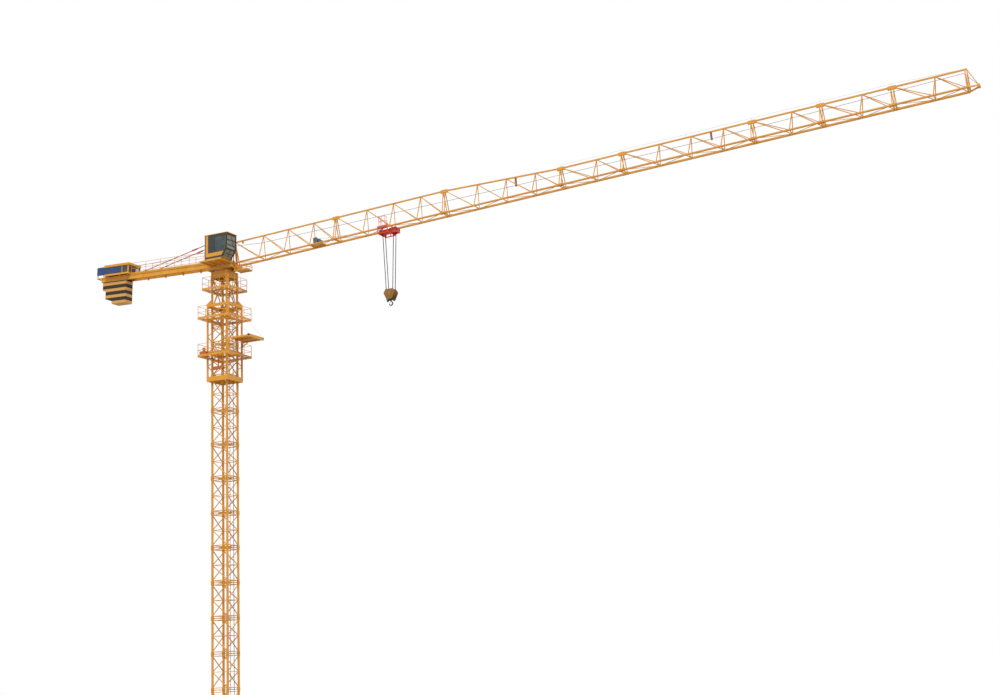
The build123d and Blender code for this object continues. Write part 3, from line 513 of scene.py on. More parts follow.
# %% [markdown]
# ## Ladder rungs
#
# A fixed ladder has a rung every 300 mm, 150 mm at half size. The stiles are solids, and the rungs are one row
# of thin blocks between them, all the way up into the slewing support.

# %% Rungs
rung_pitch, rung_start = 0.15, 0.1
ladder_low, ladder_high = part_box("mast_ladder")
rung_count = int((ladder_high.z - ladder_low.z - rung_start) / rung_pitch)
keep(grown("mast_ladder_rungs", row_tree, Count=rung_count, Start=(0.17, 0, ladder_low.z + rung_start),
           Step=(0, 0, rung_pitch), Size=(0.01, 0.19, 0.01), Material=ladder_zinc), "tower")

# %% [markdown]
# ## Walkway gratings
#
# The floors are open gratings in a steel edge, so light comes through them from below. Each floor solid is
# replaced: a frame of bars round every strip, and rows of bearing bars across it. The bars are drawn 45 mm
# apart, coarser than the real 15 mm, because finer ones would not show, and shallow enough to see through.

# %% Gratings
def grating(x, y, top, deep=0.022, pitch=0.045, edge=0.008, bar_width=0.004, bar_depth=0.007):
    """Frame and bearing bars of one strip between the limits, as pieces to join."""
    z, y_inside = (top - deep, top), (y[0] + edge, y[1] - edge)
    frame_runs = [box(x, (y[0], y[0] + edge), z), box(x, (y[1] - edge, y[1]), z),
                  box((x[0], x[0] + edge), y_inside, z), box((x[1] - edge, x[1]), y_inside, z)]
    spans = (x[1] - x[0], y[1] - y[0])
    long = 0 if spans[0] > spans[1] else 1
    count = max(int(spans[long] / pitch), 2)
    start = [(x[0] + x[1]) / 2, (y[0] + y[1]) / 2, top - bar_depth / 2]
    size, step = [spans[0] - 2 * edge, spans[1] - 2 * edge, bar_depth], [0, 0, 0]
    step[long], size[long] = spans[long] / count, bar_width
    start[long] = (x, y)[long][0] + step[long]
    return [bars("edge", frame_runs, crane_paint),
            grown("bearing", row_tree, Count=count - 1, Start=start, Step=step, Size=size, Material=crane_paint)]


for node, inner in (("lower_walkway", 0.53), ("upper_walkway", 0.53), ("support_platform", 0.4)):
    low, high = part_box(node)
    parts = []
    for side in (-1, 1):
        across_strip = sorted((side * inner, side * high.x))
        parts += grating(across_strip, (-high.x, high.x), high.z) + grating((-inner, inner), across_strip, high.z)
    piece = joined(node + "_grating", parts)
    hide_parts(node)
    keep(piece, "tower")

# %% [markdown]
# ## Toe boards
#
# Every guard rail has a low board at its foot, so that nothing can be kicked off the walkway. The rails are
# solids. The boards are thin sheet on the inside of the posts, one bar for each side.

# %% Toe boards
boards = []
for node in ("lower_walkway_rails", "upper_walkway_rails", "support_platform_rails"):
    low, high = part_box(node)
    edge, z = high.x - 0.013, low.z + 0.04
    for y in (-edge, edge):
        boards += [((-edge, y, z), (edge, y, z), 0.004, 0.06), ((y, -edge, z), (y, edge, z), 0.004, 0.06)]
keep(bars("walkway_toe_boards", boards, crane_paint), "tower")

# %% [markdown]
# ## Teeth of the slewing ring
#
# The fixed ring is a bearing with teeth round its outside, which the slewing drives' pinions roll on. The ring
# tree places one block for each tooth, turned to face outwards. The teeth stay inside the solid's outline:
# they stand on a slightly smaller ring that replaces it.

# %% Slewing ring
ring_low, ring_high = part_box("slewing_ring")
ring_inner, ring_body, tooth_count = 0.3555, ring_high.x - 0.014, 96
profile = [(ring_inner, ring_low.z), (ring_body, ring_low.z), (ring_body, ring_high.z), (ring_inner, ring_high.z)]
rings = [[(radius * c, radius * s, z) for c, s in circle(tooth_count)] for radius, z in profile]
fixed_ring = skinned("ring_body", [rings], crane_paint, closed=True)
teeth = grown("teeth", ring_tree, Matrix.Translation((0, 0, ring_low.z + 0.035)), Count=tooth_count,
              Radius=ring_high.x - 0.012, Size=(0.02, 0.013, 0.06), Material=crane_paint)
piece = joined("slewing_ring_teeth", [fixed_ring, teeth])
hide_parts("slewing_ring")
keep(piece, "tower")

# %% [markdown]
# ## Bracing and joints of the jib
#
# Between the two bottom chords runs a zigzag of thin bars, which keeps the jib from swaying sideways. It
# meets the chords where the posts do. Where two sections meet, each chord has pairs of lugs and two pins.

# %% Jib lacing and lugs
chord_y = chord_spacing / 2
first_panel, last_panel, panel, end_gap = 1.35, 1.175, 1.25, 0.045


def feet_of(start, end):
    """Stations of the bottom joints of one jib section."""
    between = end - start - first_panel - last_panel
    count = round(between / panel)
    feet = [start + first_panel + between * n / max(count, 1) for n in range(count + 1)]
    return [start + end_gap] + feet + [end - end_gap]


def depth_at(s):
    """Height of the top chord over the bottom chords, which falls through the third section."""
    share = min(max((s - section_ends[2]) / 5, 0), 1)
    return jib_depth_root + (jib_depth_tip - jib_depth_root) * share


lacing, y = [], -chord_y
for start, end in zip(section_ends, section_ends[1:]):
    stops = feet_of(start, end)
    for low, high in zip(stops, stops[1:]):
        lacing.append(((low, y, 0), (high, -y, 0), 0.018, 0.018))
        y = -y
keep(bars("jib_lacing", lacing, crane_paint, jib_place))
lugs, jib_pins = [], []
lug_reach, lug_half = 0.11, 0.008
for s in section_ends[1:-1]:
    for y, z in ((-chord_y, 0), (chord_y, 0), (0, depth_at(s))):
        lugs += [box((s - lug_reach, s + lug_reach), (y + dy - lug_half, y + dy + lug_half), limits)
                 for dy in (-0.022, 0.022) for limits in ((z + 0.026, z + 0.052), (z - 0.046, z - 0.026))]
        jib_pins += [((s + dx, y - 0.04, z + 0.036), (s + dx, y + 0.04, z + 0.036), 0.009) for dx in (-0.06, 0.06)]
keep(bars("jib_joint_lugs", lugs, crane_paint, jib_place))
keep(rods("jib_joint_pins", jib_pins, machined, 8, jib_place))

# %% [markdown]
# ## Ropes inside the jib
#
# The hoist rope leaves the tower head, runs along inside the jib over small guide rollers, passes the trolley
# and ends at the tip. It starts close under the top chord and sags towards the middle of the jib, so its line
# is a list of stations and heights, and the guides hang from the top chord down to that line.

# %% Jib rope and guides
rope_line = [(jib_start - 0.02, 0.82), (jib_start + 1.4, 0.67), (section_ends[1] - 0.3, 0.62),
             (section_ends[3] - 1.9, 0.49), (section_ends[5] - 1.54, 0.45), (jib_end - 0.1, 0.6),
             (jib_end + 0.31, 0.1)]
rope_run = [((s0, 0, z0), (s1, 0, z1), 0.007) for (s0, z0), (s1, z1) in zip(rope_line, rope_line[1:])]
keep(rods("jib_rope", rope_run, rope_wire, 6, jib_place))
guides, rollers = [], []
for s, z in rope_line[3:5]:
    guides += [((s, y, z - 0.04), (s, y, depth_at(s) - 0.02), 0.012, 0.06) for y in (-0.03, 0.03)]
    guides.append(((s, -0.035, z + 0.045), (s, 0.035, z + 0.045), 0.03, 0.01))
    rollers.append((s, z - 0.026))
root_s, root_z = jib_start + 0.42, depth_at(jib_start) - 0.02
guides += [((root_s, y, root_z - 0.1), (root_s, y, root_z), 0.012, 0.03) for y in (-0.03, 0.03)]
rollers.append((root_s, root_z - 0.08))
keep(bars("rope_guides", guides, block_paint, jib_place))
keep(rods("rope_rollers", [((s, -0.028, z), (s, 0.028, z), 0.019) for s, z in rollers], machined, 12, jib_place))

# %% [markdown]
# ## Grating, ribs and toe boards of the counter-jib
#
# The counter-jib carries a zinc grating between its girders, boards along its rails and upright ribs on the
# girders' webs at each cross beam.

# %% Counter-jib details
walk_x, walk_half = (housing_front + 0.02, -0.03), counter_outer - 0.04
strip = joined("counter_jib_grating", grating(walk_x, (-walk_half, walk_half), counter_top - 0.04, 0.02))
strip.data.transform(counter_place)
strip.data.materials.clear()
strip.data.materials.append(zinc)
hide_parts("counter_jib_walkway")
keep(strip)
rib_z, rib_reach = (-counter_top + 0.016, counter_top - 0.016), counter_outer + 0.028
ribs = [box((-s - 0.006, -s + 0.006), (side * counter_outer, side * rib_reach), rib_z)
        for s in (0.06, 0.7, 1.63, 2.56, 3.49, 4.352, counter_length - 0.025) for side in (-1, 1)]
kick_z = counter_top + 0.024
kick = [((-4.1, y, kick_z), (-0.27, y, kick_z), 0.004, 0.06) for y in (-rib_reach, rib_reach)]
keep(bars("girder_ribs", ribs, crane_paint, counter_place))
keep(bars("counter_jib_toe_boards", kick, crane_paint, counter_place))

# %% [markdown]
# ## Cab trim
#
# The cab is a welded shell with glass set in black rubber. Its near side has a black edge at the rear, a yellow band,
# a black panel left bare, then dark glass down to a yellow sill. Under the sill a black band is painted shade of the
# cab's bottom frame. The front corner is a thin black post.
# A roof cap overhangs all round and throws the rain off the panes. Heights count from the cab's floor.

# %% Cab outside
cab_low, cab_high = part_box("cab_shell")
cab_place = Matrix.Translation((0, 0, cab_low.z))
near, far = cab_low.y, cab_high.y
middle = (near + far) / 2
chin, knee, brow = (0.655, 0.03), (0.875, 0.375), (0.925, 0.985)


def front_at(z):
    """Where the cab's side ends at a height over its floor."""
    (x0, z0), (x1, z1) = (chin, knee) if z < knee[1] else (knee, brow)
    return x0 + (x1 - x0) * (z - z0) / (z1 - z0)


sill_low, sill_high = (front_at(0.105) - 0.03, 0.105), (front_at(0.26) - 0.03, 0.26)
sill = [[(-0.13, 0.105), sill_low, sill_high, (-0.13, 0.26)],
        [(-0.13, 0.26), (-0.01, 0.26), (-0.01, 0.985), (-0.13, 0.985)]]
# The second plate, the black band under the sill, is painted shade; the others are black trim.
trim_and_shade_plates = [[(-0.175, 0.0), (-0.13, 0.0), (-0.13, 0.985), (-0.175, 0.985)],
        [(-0.13, 0.03), (0.64, 0.03), sill_low, (-0.13, 0.105)],
        [(-0.01, 0.26), (0.33, 0.26), (0.33, 0.985), (-0.01, 0.985)],
        [(0.615, 0.03), chin, knee, (0.835, 0.375)],
        [(0.835, 0.375), knee, (0.925, 0.965), (0.885, 0.965)],
        [(0.33, 0.935), (0.885, 0.935), (0.89, 0.985), (0.33, 0.985)]]
keep(plates("cab_sill_and_band", sill, (near - 0.004, near), crane_paint, cab_place))
keep(plates("cab_black_trim_and_painted_shade", trim_and_shade_plates, (near - 0.005, near), cab_dark, cab_place))
fascia = [box((-0.175, 0.935), (near, far - 0.01), (0.985, 1.032))]
keep(bars("cab_roof_fascia", fascia, cab_dark, cab_place))
roof = [box((-0.195, 0.965), (near - 0.02, far + 0.01), (1.032, 1.056)),
        box((-0.13, -0.01), (near - 0.004, near), (0.985, 1.032))]
keep(bars("cab_roof", roof, crane_paint, cab_place))

# %% [markdown]
# ## Seals and guard of the front panes
#
# The raked windscreen and the chin window under it sit in rubber. A bar parts the chin window, a wiper lies on
# the windscreen, and three black guard bars cross the front from side to side.

# %% Seals, wiper and guard
seals = []
for x0, z0, x1, z1 in ((0.66, 0.03, 0.875, 0.36), (0.879, 0.385, 0.925, 0.965)):
    seals += [((x0 + 0.004, y, z0), (x1 + 0.004, y, z1), 0.04, 0.012) for y in (near + 0.02, far - 0.02)]
    seals += [((x + 0.004, near + 0.02, z), (x + 0.004, far - 0.02, z), 0.012, 0.03)
              for x, z in ((x0, z0), (x1, z1))]
seals.append(((0.66, middle, 0.03), (0.879, middle, 0.36), 0.014, 0.008))
wiper = [((0.93, middle, 0.95), (0.905, middle + 0.16, 0.6), 0.006, 0.006),
         ((0.912, middle + 0.1, 0.72), (0.893, middle + 0.2, 0.46), 0.01, 0.008)]
cross_bars = [((front_at(z) + 0.008, near + 0.01, z), (front_at(z) + 0.008, far - 0.01, z), 0.012, 0.02)
              for z in (0.2, 0.56, 0.76)]
keep(bars("cab_window_seals", seals + wiper, rubber, cab_place))
keep(bars("cab_front_guard", cross_bars, cab_dark, cab_place))

# %% [markdown]
# ## Inside the cab
#
# Through the glass one sees the crane driver's seat with a console at each arm and the dark floor mat. The
# hollow shell leaves room for them.

# %% Seat and consoles
inside = [box((-0.14, 0.6), (near + 0.03, far - 0.03), (0.022, 0.03))]
for x, reach, z in (((0.12, 0.26), 0.05, (0.03, 0.2)), ((0.03, 0.31), 0.13, (0.2, 0.27)),
                    ((0.0, 0.07), 0.12, (0.27, 0.62)), ((0.01, 0.05), 0.07, (0.63, 0.73))):
    inside.append(box(x, (middle - reach, middle + reach), z))
for side in (-1, 1):
    y = (middle + side * 0.15, middle + side * 0.24)
    inside += [box((0.08, 0.38), y, (0.28, 0.4)), box((0.12, 0.3), y, (0.03, 0.28)),
               ((0.34, middle + side * 0.195, 0.4), (0.36, middle + side * 0.195, 0.5), 0.022, 0.022)]
keep(bars("cab_seat_and_consoles", inside, rubber, cab_place))

# %% [markdown]
# ## The hoist winch
#
# Behind the open front of the housing stands the hoist winch: rope lies in one tight layer on the drum, and
# the motor has cooling fins. The rope turns are one circle with the rope's thickness, which a tree repeats
# along the drum.

# %% Rope turns and fins
winding_tree, given = new_tree("rope_turns", Count=int, Radius=float, Rope=float, Start=Vector, Step=Vector)
line = add(winding_tree, "GeometryNodeMeshLine", {"Count": given["Count"], "Offset": given["Step"],
                                                  "Start Location": given["Start"]})
loop = add(winding_tree, "GeometryNodeCurvePrimitiveCircle", {"Radius": given["Radius"], "Resolution": 28})
turned = add(winding_tree, "GeometryNodeTransform", {"Geometry": loop.outputs[0], "Rotation": (math.pi / 2, 0, 0)})
section = add(winding_tree, "GeometryNodeCurvePrimitiveCircle", {"Radius": given["Rope"], "Resolution": 6})
tube = add(winding_tree, "GeometryNodeCurveToMesh", {"Curve": turned.outputs[0], "Profile Curve": section.outputs[0]})
close_tree(winding_tree, given, line, tube)

deck = counter_top + 0.07
winch_length, winch_rear, drum_z = 0.72, housing_front - 0.75, deck + 0.16
drum_x, motor_x = winch_rear + winch_length * 0.68, winch_rear + winch_length * 0.2
keep(grown("hoist_rope_turns", winding_tree, counter_place, Count=33, Radius=0.118, Rope=0.007,
           Start=(drum_x, -0.226, drum_z), Step=(0, 0.0141, 0), Material=rope_wire))
fin_outline = [(-0.002, 0.04), (-0.002, 0.088), (0.002, 0.088), (0.002, 0.04)]
fins = [(motor_x, -0.2 + 0.02 * n, deck + 0.13) for n in range(21)]
keep(lathe("hoist_motor_fins", fin_outline, fins, machine_paint, 16, counter_place))

# %% [markdown]
# ## Winch housing
#
# The near side of the housing carries a plain blue board between two lips. A control cabinet with two doors
# stands next to it, and upright bars guard the winch at its side and its front.

# %% Board, cabinet and guard
board_rear = housing_front - 1.3
board = [box((board_rear, board_rear + 0.93), y, (counter_top + low, counter_top + high)) for y, low, high in (
    ((-0.408, -0.403), 0.085, 0.365), ((-0.412, -0.408), 0.085, 0.097), ((-0.412, -0.408), 0.353, 0.365))]
keep(bars("housing_blue_board", board, board_paint, counter_place))
cabinet = [box((board_rear + 0.97, board_rear + 1.08), (-0.34, -0.02), (deck, deck + 0.3))]
cabinet += [box((board_rear + 1.08, board_rear + 1.09), y, (deck + 0.02, deck + 0.28))
            for y in ((-0.33, -0.19), (-0.17, -0.03))]
keep(bars("hoist_control_cabinet", cabinet, machine_paint, counter_place))
posts = [(housing_front - 0.315 + 0.035 * n, -0.392, 0.36) for n in range(9)]
posts += [(housing_front + 0.006, -0.36 + 0.048 * n, 0.3) for n in range(16)]
guard = [((x, y, deck), (x, y, deck + high), 0.012, 0.016) for x, y, high in posts]
keep(bars("hoist_winch_guard", guard, machine_paint, counter_place))
print("deck", round(deck, 3), "drum at", round(drum_x, 3))

# %% [markdown]
# ## Sheaves
#
# A rope sheave is a cast wheel with a groove as deep as the rope, a thin web and a hub. The solids of the
# trolley and of the block are plain discs as wide as the groove's bottom, so turned sheaves take their place.

# %% Sheaves of trolley and block
def sheave_outline(radius, width, groove, axle, reach):
    """Half of the outline and its mirror: axle, hub, web, rim and groove."""
    right = [(reach, axle), (width / 2, axle), (width / 2, radius * 0.34), (width * 0.2, radius * 0.38),
             (width * 0.2, radius * 0.68), (width / 2, radius * 0.74), (width / 2, radius), (width * 0.42, radius),
             (width * 0.38, radius - groove * 0.5), (width * 0.25, radius - groove * 0.85), (0, radius - groove)]
    return [(-distance, r) for distance, r in right] + right[-2::-1]


sheave_centres = [(x, y, -0.109) for x in (-0.3285, 0.3285) for y in (-0.1, 0.1)]
trolley_outline = sheave_outline(0.08, 0.044, 0.02, 0.012, 0.0257)
piece = lathe("trolley_rope_sheaves", trolley_outline, sheave_centres, machine_paint, 28, trolley_place)
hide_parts("trolley_sheaves")
keep(piece, "trolley")
block_outline = sheave_outline(0.142, 0.044, 0.02, 0.016, 0.023)
wheels = lathe("wheels", block_outline, [(0, -0.1, 0), (0, 0.1, 0)], machine_paint, 36, block_place)
axles = [((0, side * 0.0083, 0), (0, side * 0.1367, 0), 0.016) for side in (-1, 1)]
piece = joined("block_rope_sheaves", [wheels, rods("axles", axles, machined, 10, block_place)])
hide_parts("block_sheaves")
keep(piece, "block")

# %% [markdown]
# ## Bolts and rope guards of the block
#
# The block's cheeks are held by a cap on the axle and by six bolts a side. Under them, left and right of the
# hook, sits a dark guard with a short claw.

# %% Block bolts and guards
bolts = [(0, 0, 0.158, 0.03)]
bolts += [(x, z, 0.153, 0.01) for x, z in ((-0.2, 0.03), (0.2, 0.03), (-0.1, -0.2), (0.1, -0.2), (-0.14, 0.15),
                                            (0.14, 0.15))]
caps = [((x, side * 0.145, z), (x, side * reach, z), radius) for x, z, reach, radius in bolts for side in (-1, 1)]
keep(rods("block_bolts", caps, machined, 12, block_place), "block")
claws = [box((side * x, side * 0.165), (-y, y), z) for x, y, z in (
    (0.034, 0.1, (-0.262, -0.234)), (0.12, 0.035, (-0.315, -0.262))) for side in (-1, 1)]
keep(bars("block_rope_guards", claws, cab_dark, block_place), "block")

# %% [markdown]
# ## Forged hook
#
# A crane hook is forged: its section is thickest at the back of the bowl, where the load bends it most, and it
# tapers to the tip. The path follows the solid's ring and the section's widths change along it. A sprung latch
# closes the mouth.

# %% Hook and latch
outer_radius, bowl_radius, bowl_offset, bowl_z = 0.095, 0.054, Vector((-0.008, 0.006)), -0.4
ring_start, ring_turn, ring_steps = 66, 257, 40


def ring_at(angle):
    """Middle and half thickness of the hook's ring in a direction, from its two circles."""
    way = Vector((math.cos(angle), math.sin(angle)))
    reach = bowl_offset.dot(way)
    inner_radius = reach + math.sqrt(bowl_radius ** 2 - bowl_offset.dot(bowl_offset) + reach ** 2)
    return way * (outer_radius + inner_radius) / 2, (outer_radius - inner_radius) / 2


path, halves = [(0, 0, -0.152), (0, 0, -0.3)], [(0.0255, 0.0255), (0.0255, 0.0255)]
for number in range(ring_steps + 1):
    share = number / ring_steps
    point, half_wide = ring_at(math.radians(ring_start - ring_turn * share))
    taper = min(1, (1 - share) * 5 + 0.35)
    path.append((point.x, 0, bowl_z + point.y))
    halves.append((half_wide * taper, 0.0195 * taper))
bowl = sweep("bowl", path, halves, forged, 16, block_place)
nut = rods("nut", [((0, 0, -0.1745), (0, 0, -0.1505), 0.048)], forged, 6, block_place)
latch = bars("latch", [((-0.014, 0, -0.335), (-0.074, 0, -0.379), 0.026, 0.004)], machined, block_place)
hook = joined("forged_hook", [bowl, nut, latch])
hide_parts("hook")
keep(hook, "hook_swivel")

# %% [markdown]
# ## Rope falls
#
# Four falls carry the block. A rope is laid from strands, and from the ground it is a dark line. Each fall gets
# thin strands wound round its core. When the block rises the falls shorten, so they take the same fixed upper
# end as the solids that they stand for.

# %% Falls
strand_steps, steps_a_turn = 120, 10
falls, strands = [], []
for x, y, z in sheave_centres:
    side = 1 if x > 0 else -1
    top = trolley_place @ Vector((x, y, z))
    upper = Vector((top.x - side * 0.0775, y, top.z))
    lower = Vector((block_centre.x + side * 0.1395, y, block_centre.z))
    falls.append((upper, lower, 0.0145))
    for strand in range(3):
        twist = []
        for step in range(strand_steps + 1):
            turn = 2 * math.pi * (step / steps_a_turn + strand / 3)
            offset = Vector((math.cos(turn), math.sin(turn), 0)) * 0.0095
            twist.append(upper.lerp(lower, step / strand_steps) + offset)
        strands.append(sweep("strand", twist, 0.0065, rope_wire, 5))
rope_piece = joined("hoist_rope_falls", [rods("cores", falls, rope_wire, 8)] + strands)
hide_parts("hoist_ropes")
keep(rope_piece, "trolley")
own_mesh(rope_piece)

# %% [markdown]
# ## Hoist rope on its way to the jib
#
# From the drum the rope runs forward over the counter-jib's walkway to a sheave on the tower head's rear cross
# bar, and from there through the head into the jib. The sheave turns between two plates that stand on the bar.

# %% Head sheave and rope
head_low, head_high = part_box("tower_head")
drum_top = counter_place @ Vector((drum_x, 0, drum_z + 0.128))
wheel = Vector((-0.335, 0, (head_low.z + head_high.z) / 2 + 0.115))
enter = jib_place @ Vector((rope_line[0][0], 0, rope_line[0][1]))
keep(lathe("head_sheave", sheave_outline(0.11, 0.034, 0.014, 0.012, 0.03), [wheel], machine_paint))
cheeks = [((wheel.x, y, wheel.z - 0.115), (wheel.x, y, wheel.z + 0.04), 0.008, 0.09) for y in (-0.026, 0.026)]
keep(bars("head_sheave_cheeks", cheeks, crane_paint))
over = [drum_top, wheel + Vector((-0.012, 0, 0.103)), wheel + Vector((0, 0, 0.104)), enter]
keep(sweep("hoist_rope_to_jib", over, 0.006, rope_wire, 6))

# %% [markdown]
# ## Forks and pins of the tie rods
#
# Each red tie ends in a fork with a pin, at the head and on the girder. The turnbuckle in between has a nut at
# each end, which sets the counter-jib's height.

# %% Forks, pins and nuts
forks, tie_pins, nuts = [], [], []
for y in (-counter_outer, counter_outer):
    foot = counter_place @ Vector((-counter_length * 0.602, y, counter_top + 0.04))
    head = Vector((-0.39, y, head_high.z - 0.03))
    run = foot - head
    way = run.normalized()
    for end, inward in ((foot, -way), (head, way)):
        for dy in (Vector((0, -0.02, 0)), Vector((0, 0.02, 0))):
            forks.append((end + dy, end + inward * 0.16 + dy, 0.008, 0.046))
        tie_pins.append((end + Vector((0, -0.034, 0)), end + Vector((0, 0.034, 0)), 0.012))
    nuts += [(head + run * share - way * 0.02, head + run * share + way * 0.02, 0.028) for share in (0.236, 0.304)]
keep(joined("tie_forks_and_nuts", [bars("forks", forks, tie_paint), rods("nuts", nuts, tie_paint, 6)]))
keep(rods("tie_pins", tie_pins, machined, 10))

# %% [markdown]
# ## Bolts of the slewing ring
#
# Forty-eight bolts clamp the fixed ring to the support's top plate, and ten hold each slewing drive on the
# table. Only their heads show, as short hexagons.

# %% Ring bolts
bolt_tree, given = new_tree("ring_of_bolts", Count=int, Radius=float, Head=float, Height=float)
ring = add(bolt_tree, "GeometryNodeMeshCircle", {"Vertices": given["Count"], "Radius": given["Radius"]})
head = add(bolt_tree, "GeometryNodeMeshCylinder", {"Vertices": 6, "Radius": given["Head"], "Depth": given["Height"]})
close_tree(bolt_tree, given, ring, head)
keep(grown("slewing_ring_bolts", bolt_tree, Matrix.Translation((0, 0, support_top + 0.007)), Count=48, Radius=0.432,
           Head=0.011, Height=0.014, Material=machined), "tower")
for x, end in ((-0.4555, "rear"), (0.4555, "front")):
    keep(grown("slewing_motor_bolts_" + end, bolt_tree, Matrix.Translation((x, 0, table_foot + 0.066)), Count=10,
               Radius=0.088, Head=0.008, Height=0.01, Material=machined))

# %% [markdown]
# ## What hangs on the climbing cage
#
# The jack needs a pump: an orange-red tank with a motor on it stands on the lower walkway beside the jack, and two
# hoses hang from it to the cylinder. Guide wheels on the cage's blocks run on the mast's legs.

# %% Pump, hoses and guide wheels
walk_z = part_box("lower_walkway")[1].z
upper_low, upper_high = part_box("upper_walkway")
pump = [box((-0.72, -0.4), (-0.76, -0.6), (walk_z + 0.02, walk_z + 0.19)),
        box((-0.74, -0.38), (-0.77, -0.59), (walk_z, walk_z + 0.02))]
motor = [((-0.56, -0.68, walk_z + 0.19), (-0.56, -0.68, walk_z + 0.36), 0.055)]
keep(joined("climbing_pump", [bars("tank", pump, jack_paint), rods("motor", motor, jack_paint, 14)]), "tower")
jack_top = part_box("climbing_jack")[1].z
hoses, hose_steps, hose_sag = [], 16, 0.16
for side, y in ((-1, -0.66), (1, -0.7)):
    start, end = Vector((-0.42, y, walk_z + 0.1)), Vector((side * 0.02, -0.475, jack_top - 0.16))
    path = [start.lerp(end, step / hose_steps) - Vector((0, 0, hose_sag * math.sin(math.pi * step / hose_steps)))
            for step in range(hose_steps + 1)]
    hoses.append(sweep("hose", path, 0.008, rubber, 7))
keep(joined("jack_hoses", hoses), "tower")
wheels = [(x, y, z + 0.062) for z in (cage_foot + 0.1, upper_high.z - 0.04) for y in (-half, half)
          for x in (-0.436, 0.436)]
wheel_outline = [(-0.014, 0.008), (-0.014, 0.03), (0.014, 0.03), (0.014, 0.008)]
keep(lathe("cage_guide_wheels", wheel_outline, wheels, machined, 16), "tower")

# %% [markdown]
# ## The entry platform
#
# Two thin stays from the upper walkway hold up the platform's end. Its corners carry black buffers, and thin
# treads lie across its floor.

# %% Stays, buffers and treads
end_x, end_y, end_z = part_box("entry_platform")[1]
stays = [((0.79, y, upper_low.z), (end_x - 0.03, y, end_z), 0.005) for y in (-0.5, 0.5)]
keep(rods("entry_platform_stays", stays, zinc, 6), "tower")
buffers = [box((end_x - 0.07, end_x + 0.002), (side * (end_y - 0.05), side * (end_y + 0.002)),
               (end_z - 0.075, end_z + 0.002)) for side in (-1, 1)]
keep(bars("entry_platform_buffer", buffers, rubber), "tower")
tread_z = end_z - 0.03 + 0.002
treads = [((0.6 + 0.06 * n, -0.49, tread_z), (0.6 + 0.06 * n, 0.49, tread_z), 0.01, 0.004) for n in range(16)]
keep(bars("entry_platform_treads", treads, crane_paint), "tower")

# %% [markdown]
# ## Cab door and mast cable
#
# The driver comes in from the tower head's side, through a door in the cab's rear wall with a handle and two
# hinges. The crane's supply cable runs down the mast beside the ladder and is clipped to it at each joint.

# %% Door, handle, hinges and cable
wall = cab_low.x
(door_y0, door_y1), (door_z0, door_z1) = (middle - 0.22, middle + 0.22), (0.06, 0.9)
handle_y = door_y0 + 0.05
door = [((wall - 0.003, y, door_z0), (wall - 0.003, y, door_z1), 0.014, 0.006) for y in (door_y0, door_y1)]
door += [((wall - 0.003, door_y0, z), (wall - 0.003, door_y1, z), 0.006, 0.014) for z in (door_z0, door_z1)]
door += [((wall - 0.006, door_y1, z), (wall - 0.006, door_y1, z + 0.06), 0.024, 0.012) for z in (0.15, 0.72)]
door += [((wall - 0.024, handle_y, 0.4), (wall - 0.024, handle_y, 0.56), 0.01, 0.01)]
door += [((wall - 0.026, handle_y, z), (wall, handle_y, z), 0.01, 0.01) for z in (0.41, 0.55)]
keep(bars("cab_door_trim", door, cab_dark, cab_place))
cable_x, cable_y = ladder_high.x + 0.012, 0.07
cable = [((cable_x, cable_y, ladder_low.z + 0.02), (cable_x, cable_y, ladder_high.z - 0.02), 0.011)]
clips = [((cable_x - 0.016, cable_y, z), (cable_x + 0.014, cable_y, z), 0.034, 0.02) for z in joint_heights]
keep(joined("mast_supply_cable", [rods("cable", cable, rubber), bars("clips", clips, machined)]), "tower")

# %% [markdown]
# ## Foot of the crane
#
# The cross frame stands hidden below the photograph. Its box beams have stiffeners on both sides, and each mast
# leg stands between two short gussets.

# %% Stiffeners and gussets
beam_side, base_top, leg_s = 0.094, 0.25, half * math.sqrt(2)
ribs, gussets = [], []
for quarter in range(4):
    turn = Matrix.Rotation(math.radians(45 + 90 * quarter), 4, "Z")
    ribs += [(turn @ Vector((s, y, 0.035)), turn @ Vector((s, y, base_top - 0.01)), 0.012, 0.018)
             for s in (0.4, 0.64, 0.95, 1.25) for y in (-beam_side, beam_side)]
    gussets += [(turn @ Vector((s, 0, base_top)), turn @ Vector((s, 0, base_top + 0.045)), 0.05, 0.012)
                for s in (leg_s - 0.085, leg_s + 0.085)]
keep(bars("base_stiffeners", ribs + gussets, crane_paint), "tower")

# %% [markdown]
# ## Along the jib
#
# A thin line for the fitters' safety hooks is stretched on short posts over the top chord, from the fourth
# section to the tip. Boxes sit round the chords where sections meet.

# %% Safety line and joint boxes
post_pitch, post_height = 2.5, 0.14
posts, line_points, s = [], [], section_ends[3]
while s < jib_end - 2.4:
    z = depth_at(s)
    posts.append(((s, 0, z + 0.02), (s, 0, z + post_height), 0.008, 0.008))
    line_points.append(Vector((s, 0, z + 0.13)))
    s += post_pitch
line_points.append(Vector((jib_end - 0.05, 0, depth_at(jib_end) + 0.02)))
keep(bars("safety_line_posts", posts, crane_paint, jib_place))
boxes = []
for s in section_ends[1:-1]:
    z = depth_at(s)
    boxes.append(box((s - 0.15, s + 0.15), (-0.04, 0.04), (z - 0.075, z + 0.042)))
    boxes += [box((s - 0.13, s + 0.13), (y - 0.034, y + 0.034), (-0.034, 0.05)) for y in (-chord_y, chord_y)]
keep(bars("jib_joint_boxes", boxes, crane_paint, jib_place))
runs = [(a, b, 0.0035) for a, b in zip(line_points, line_points[1:])]
keep(rods("safety_line", runs, zinc, 5, jib_place))

# %% [markdown]
# ## The trolley's rope
#
# The trolley is pulled along by a thin rope, which runs from the winch at the end of the first section to a
# sheave at the tip.

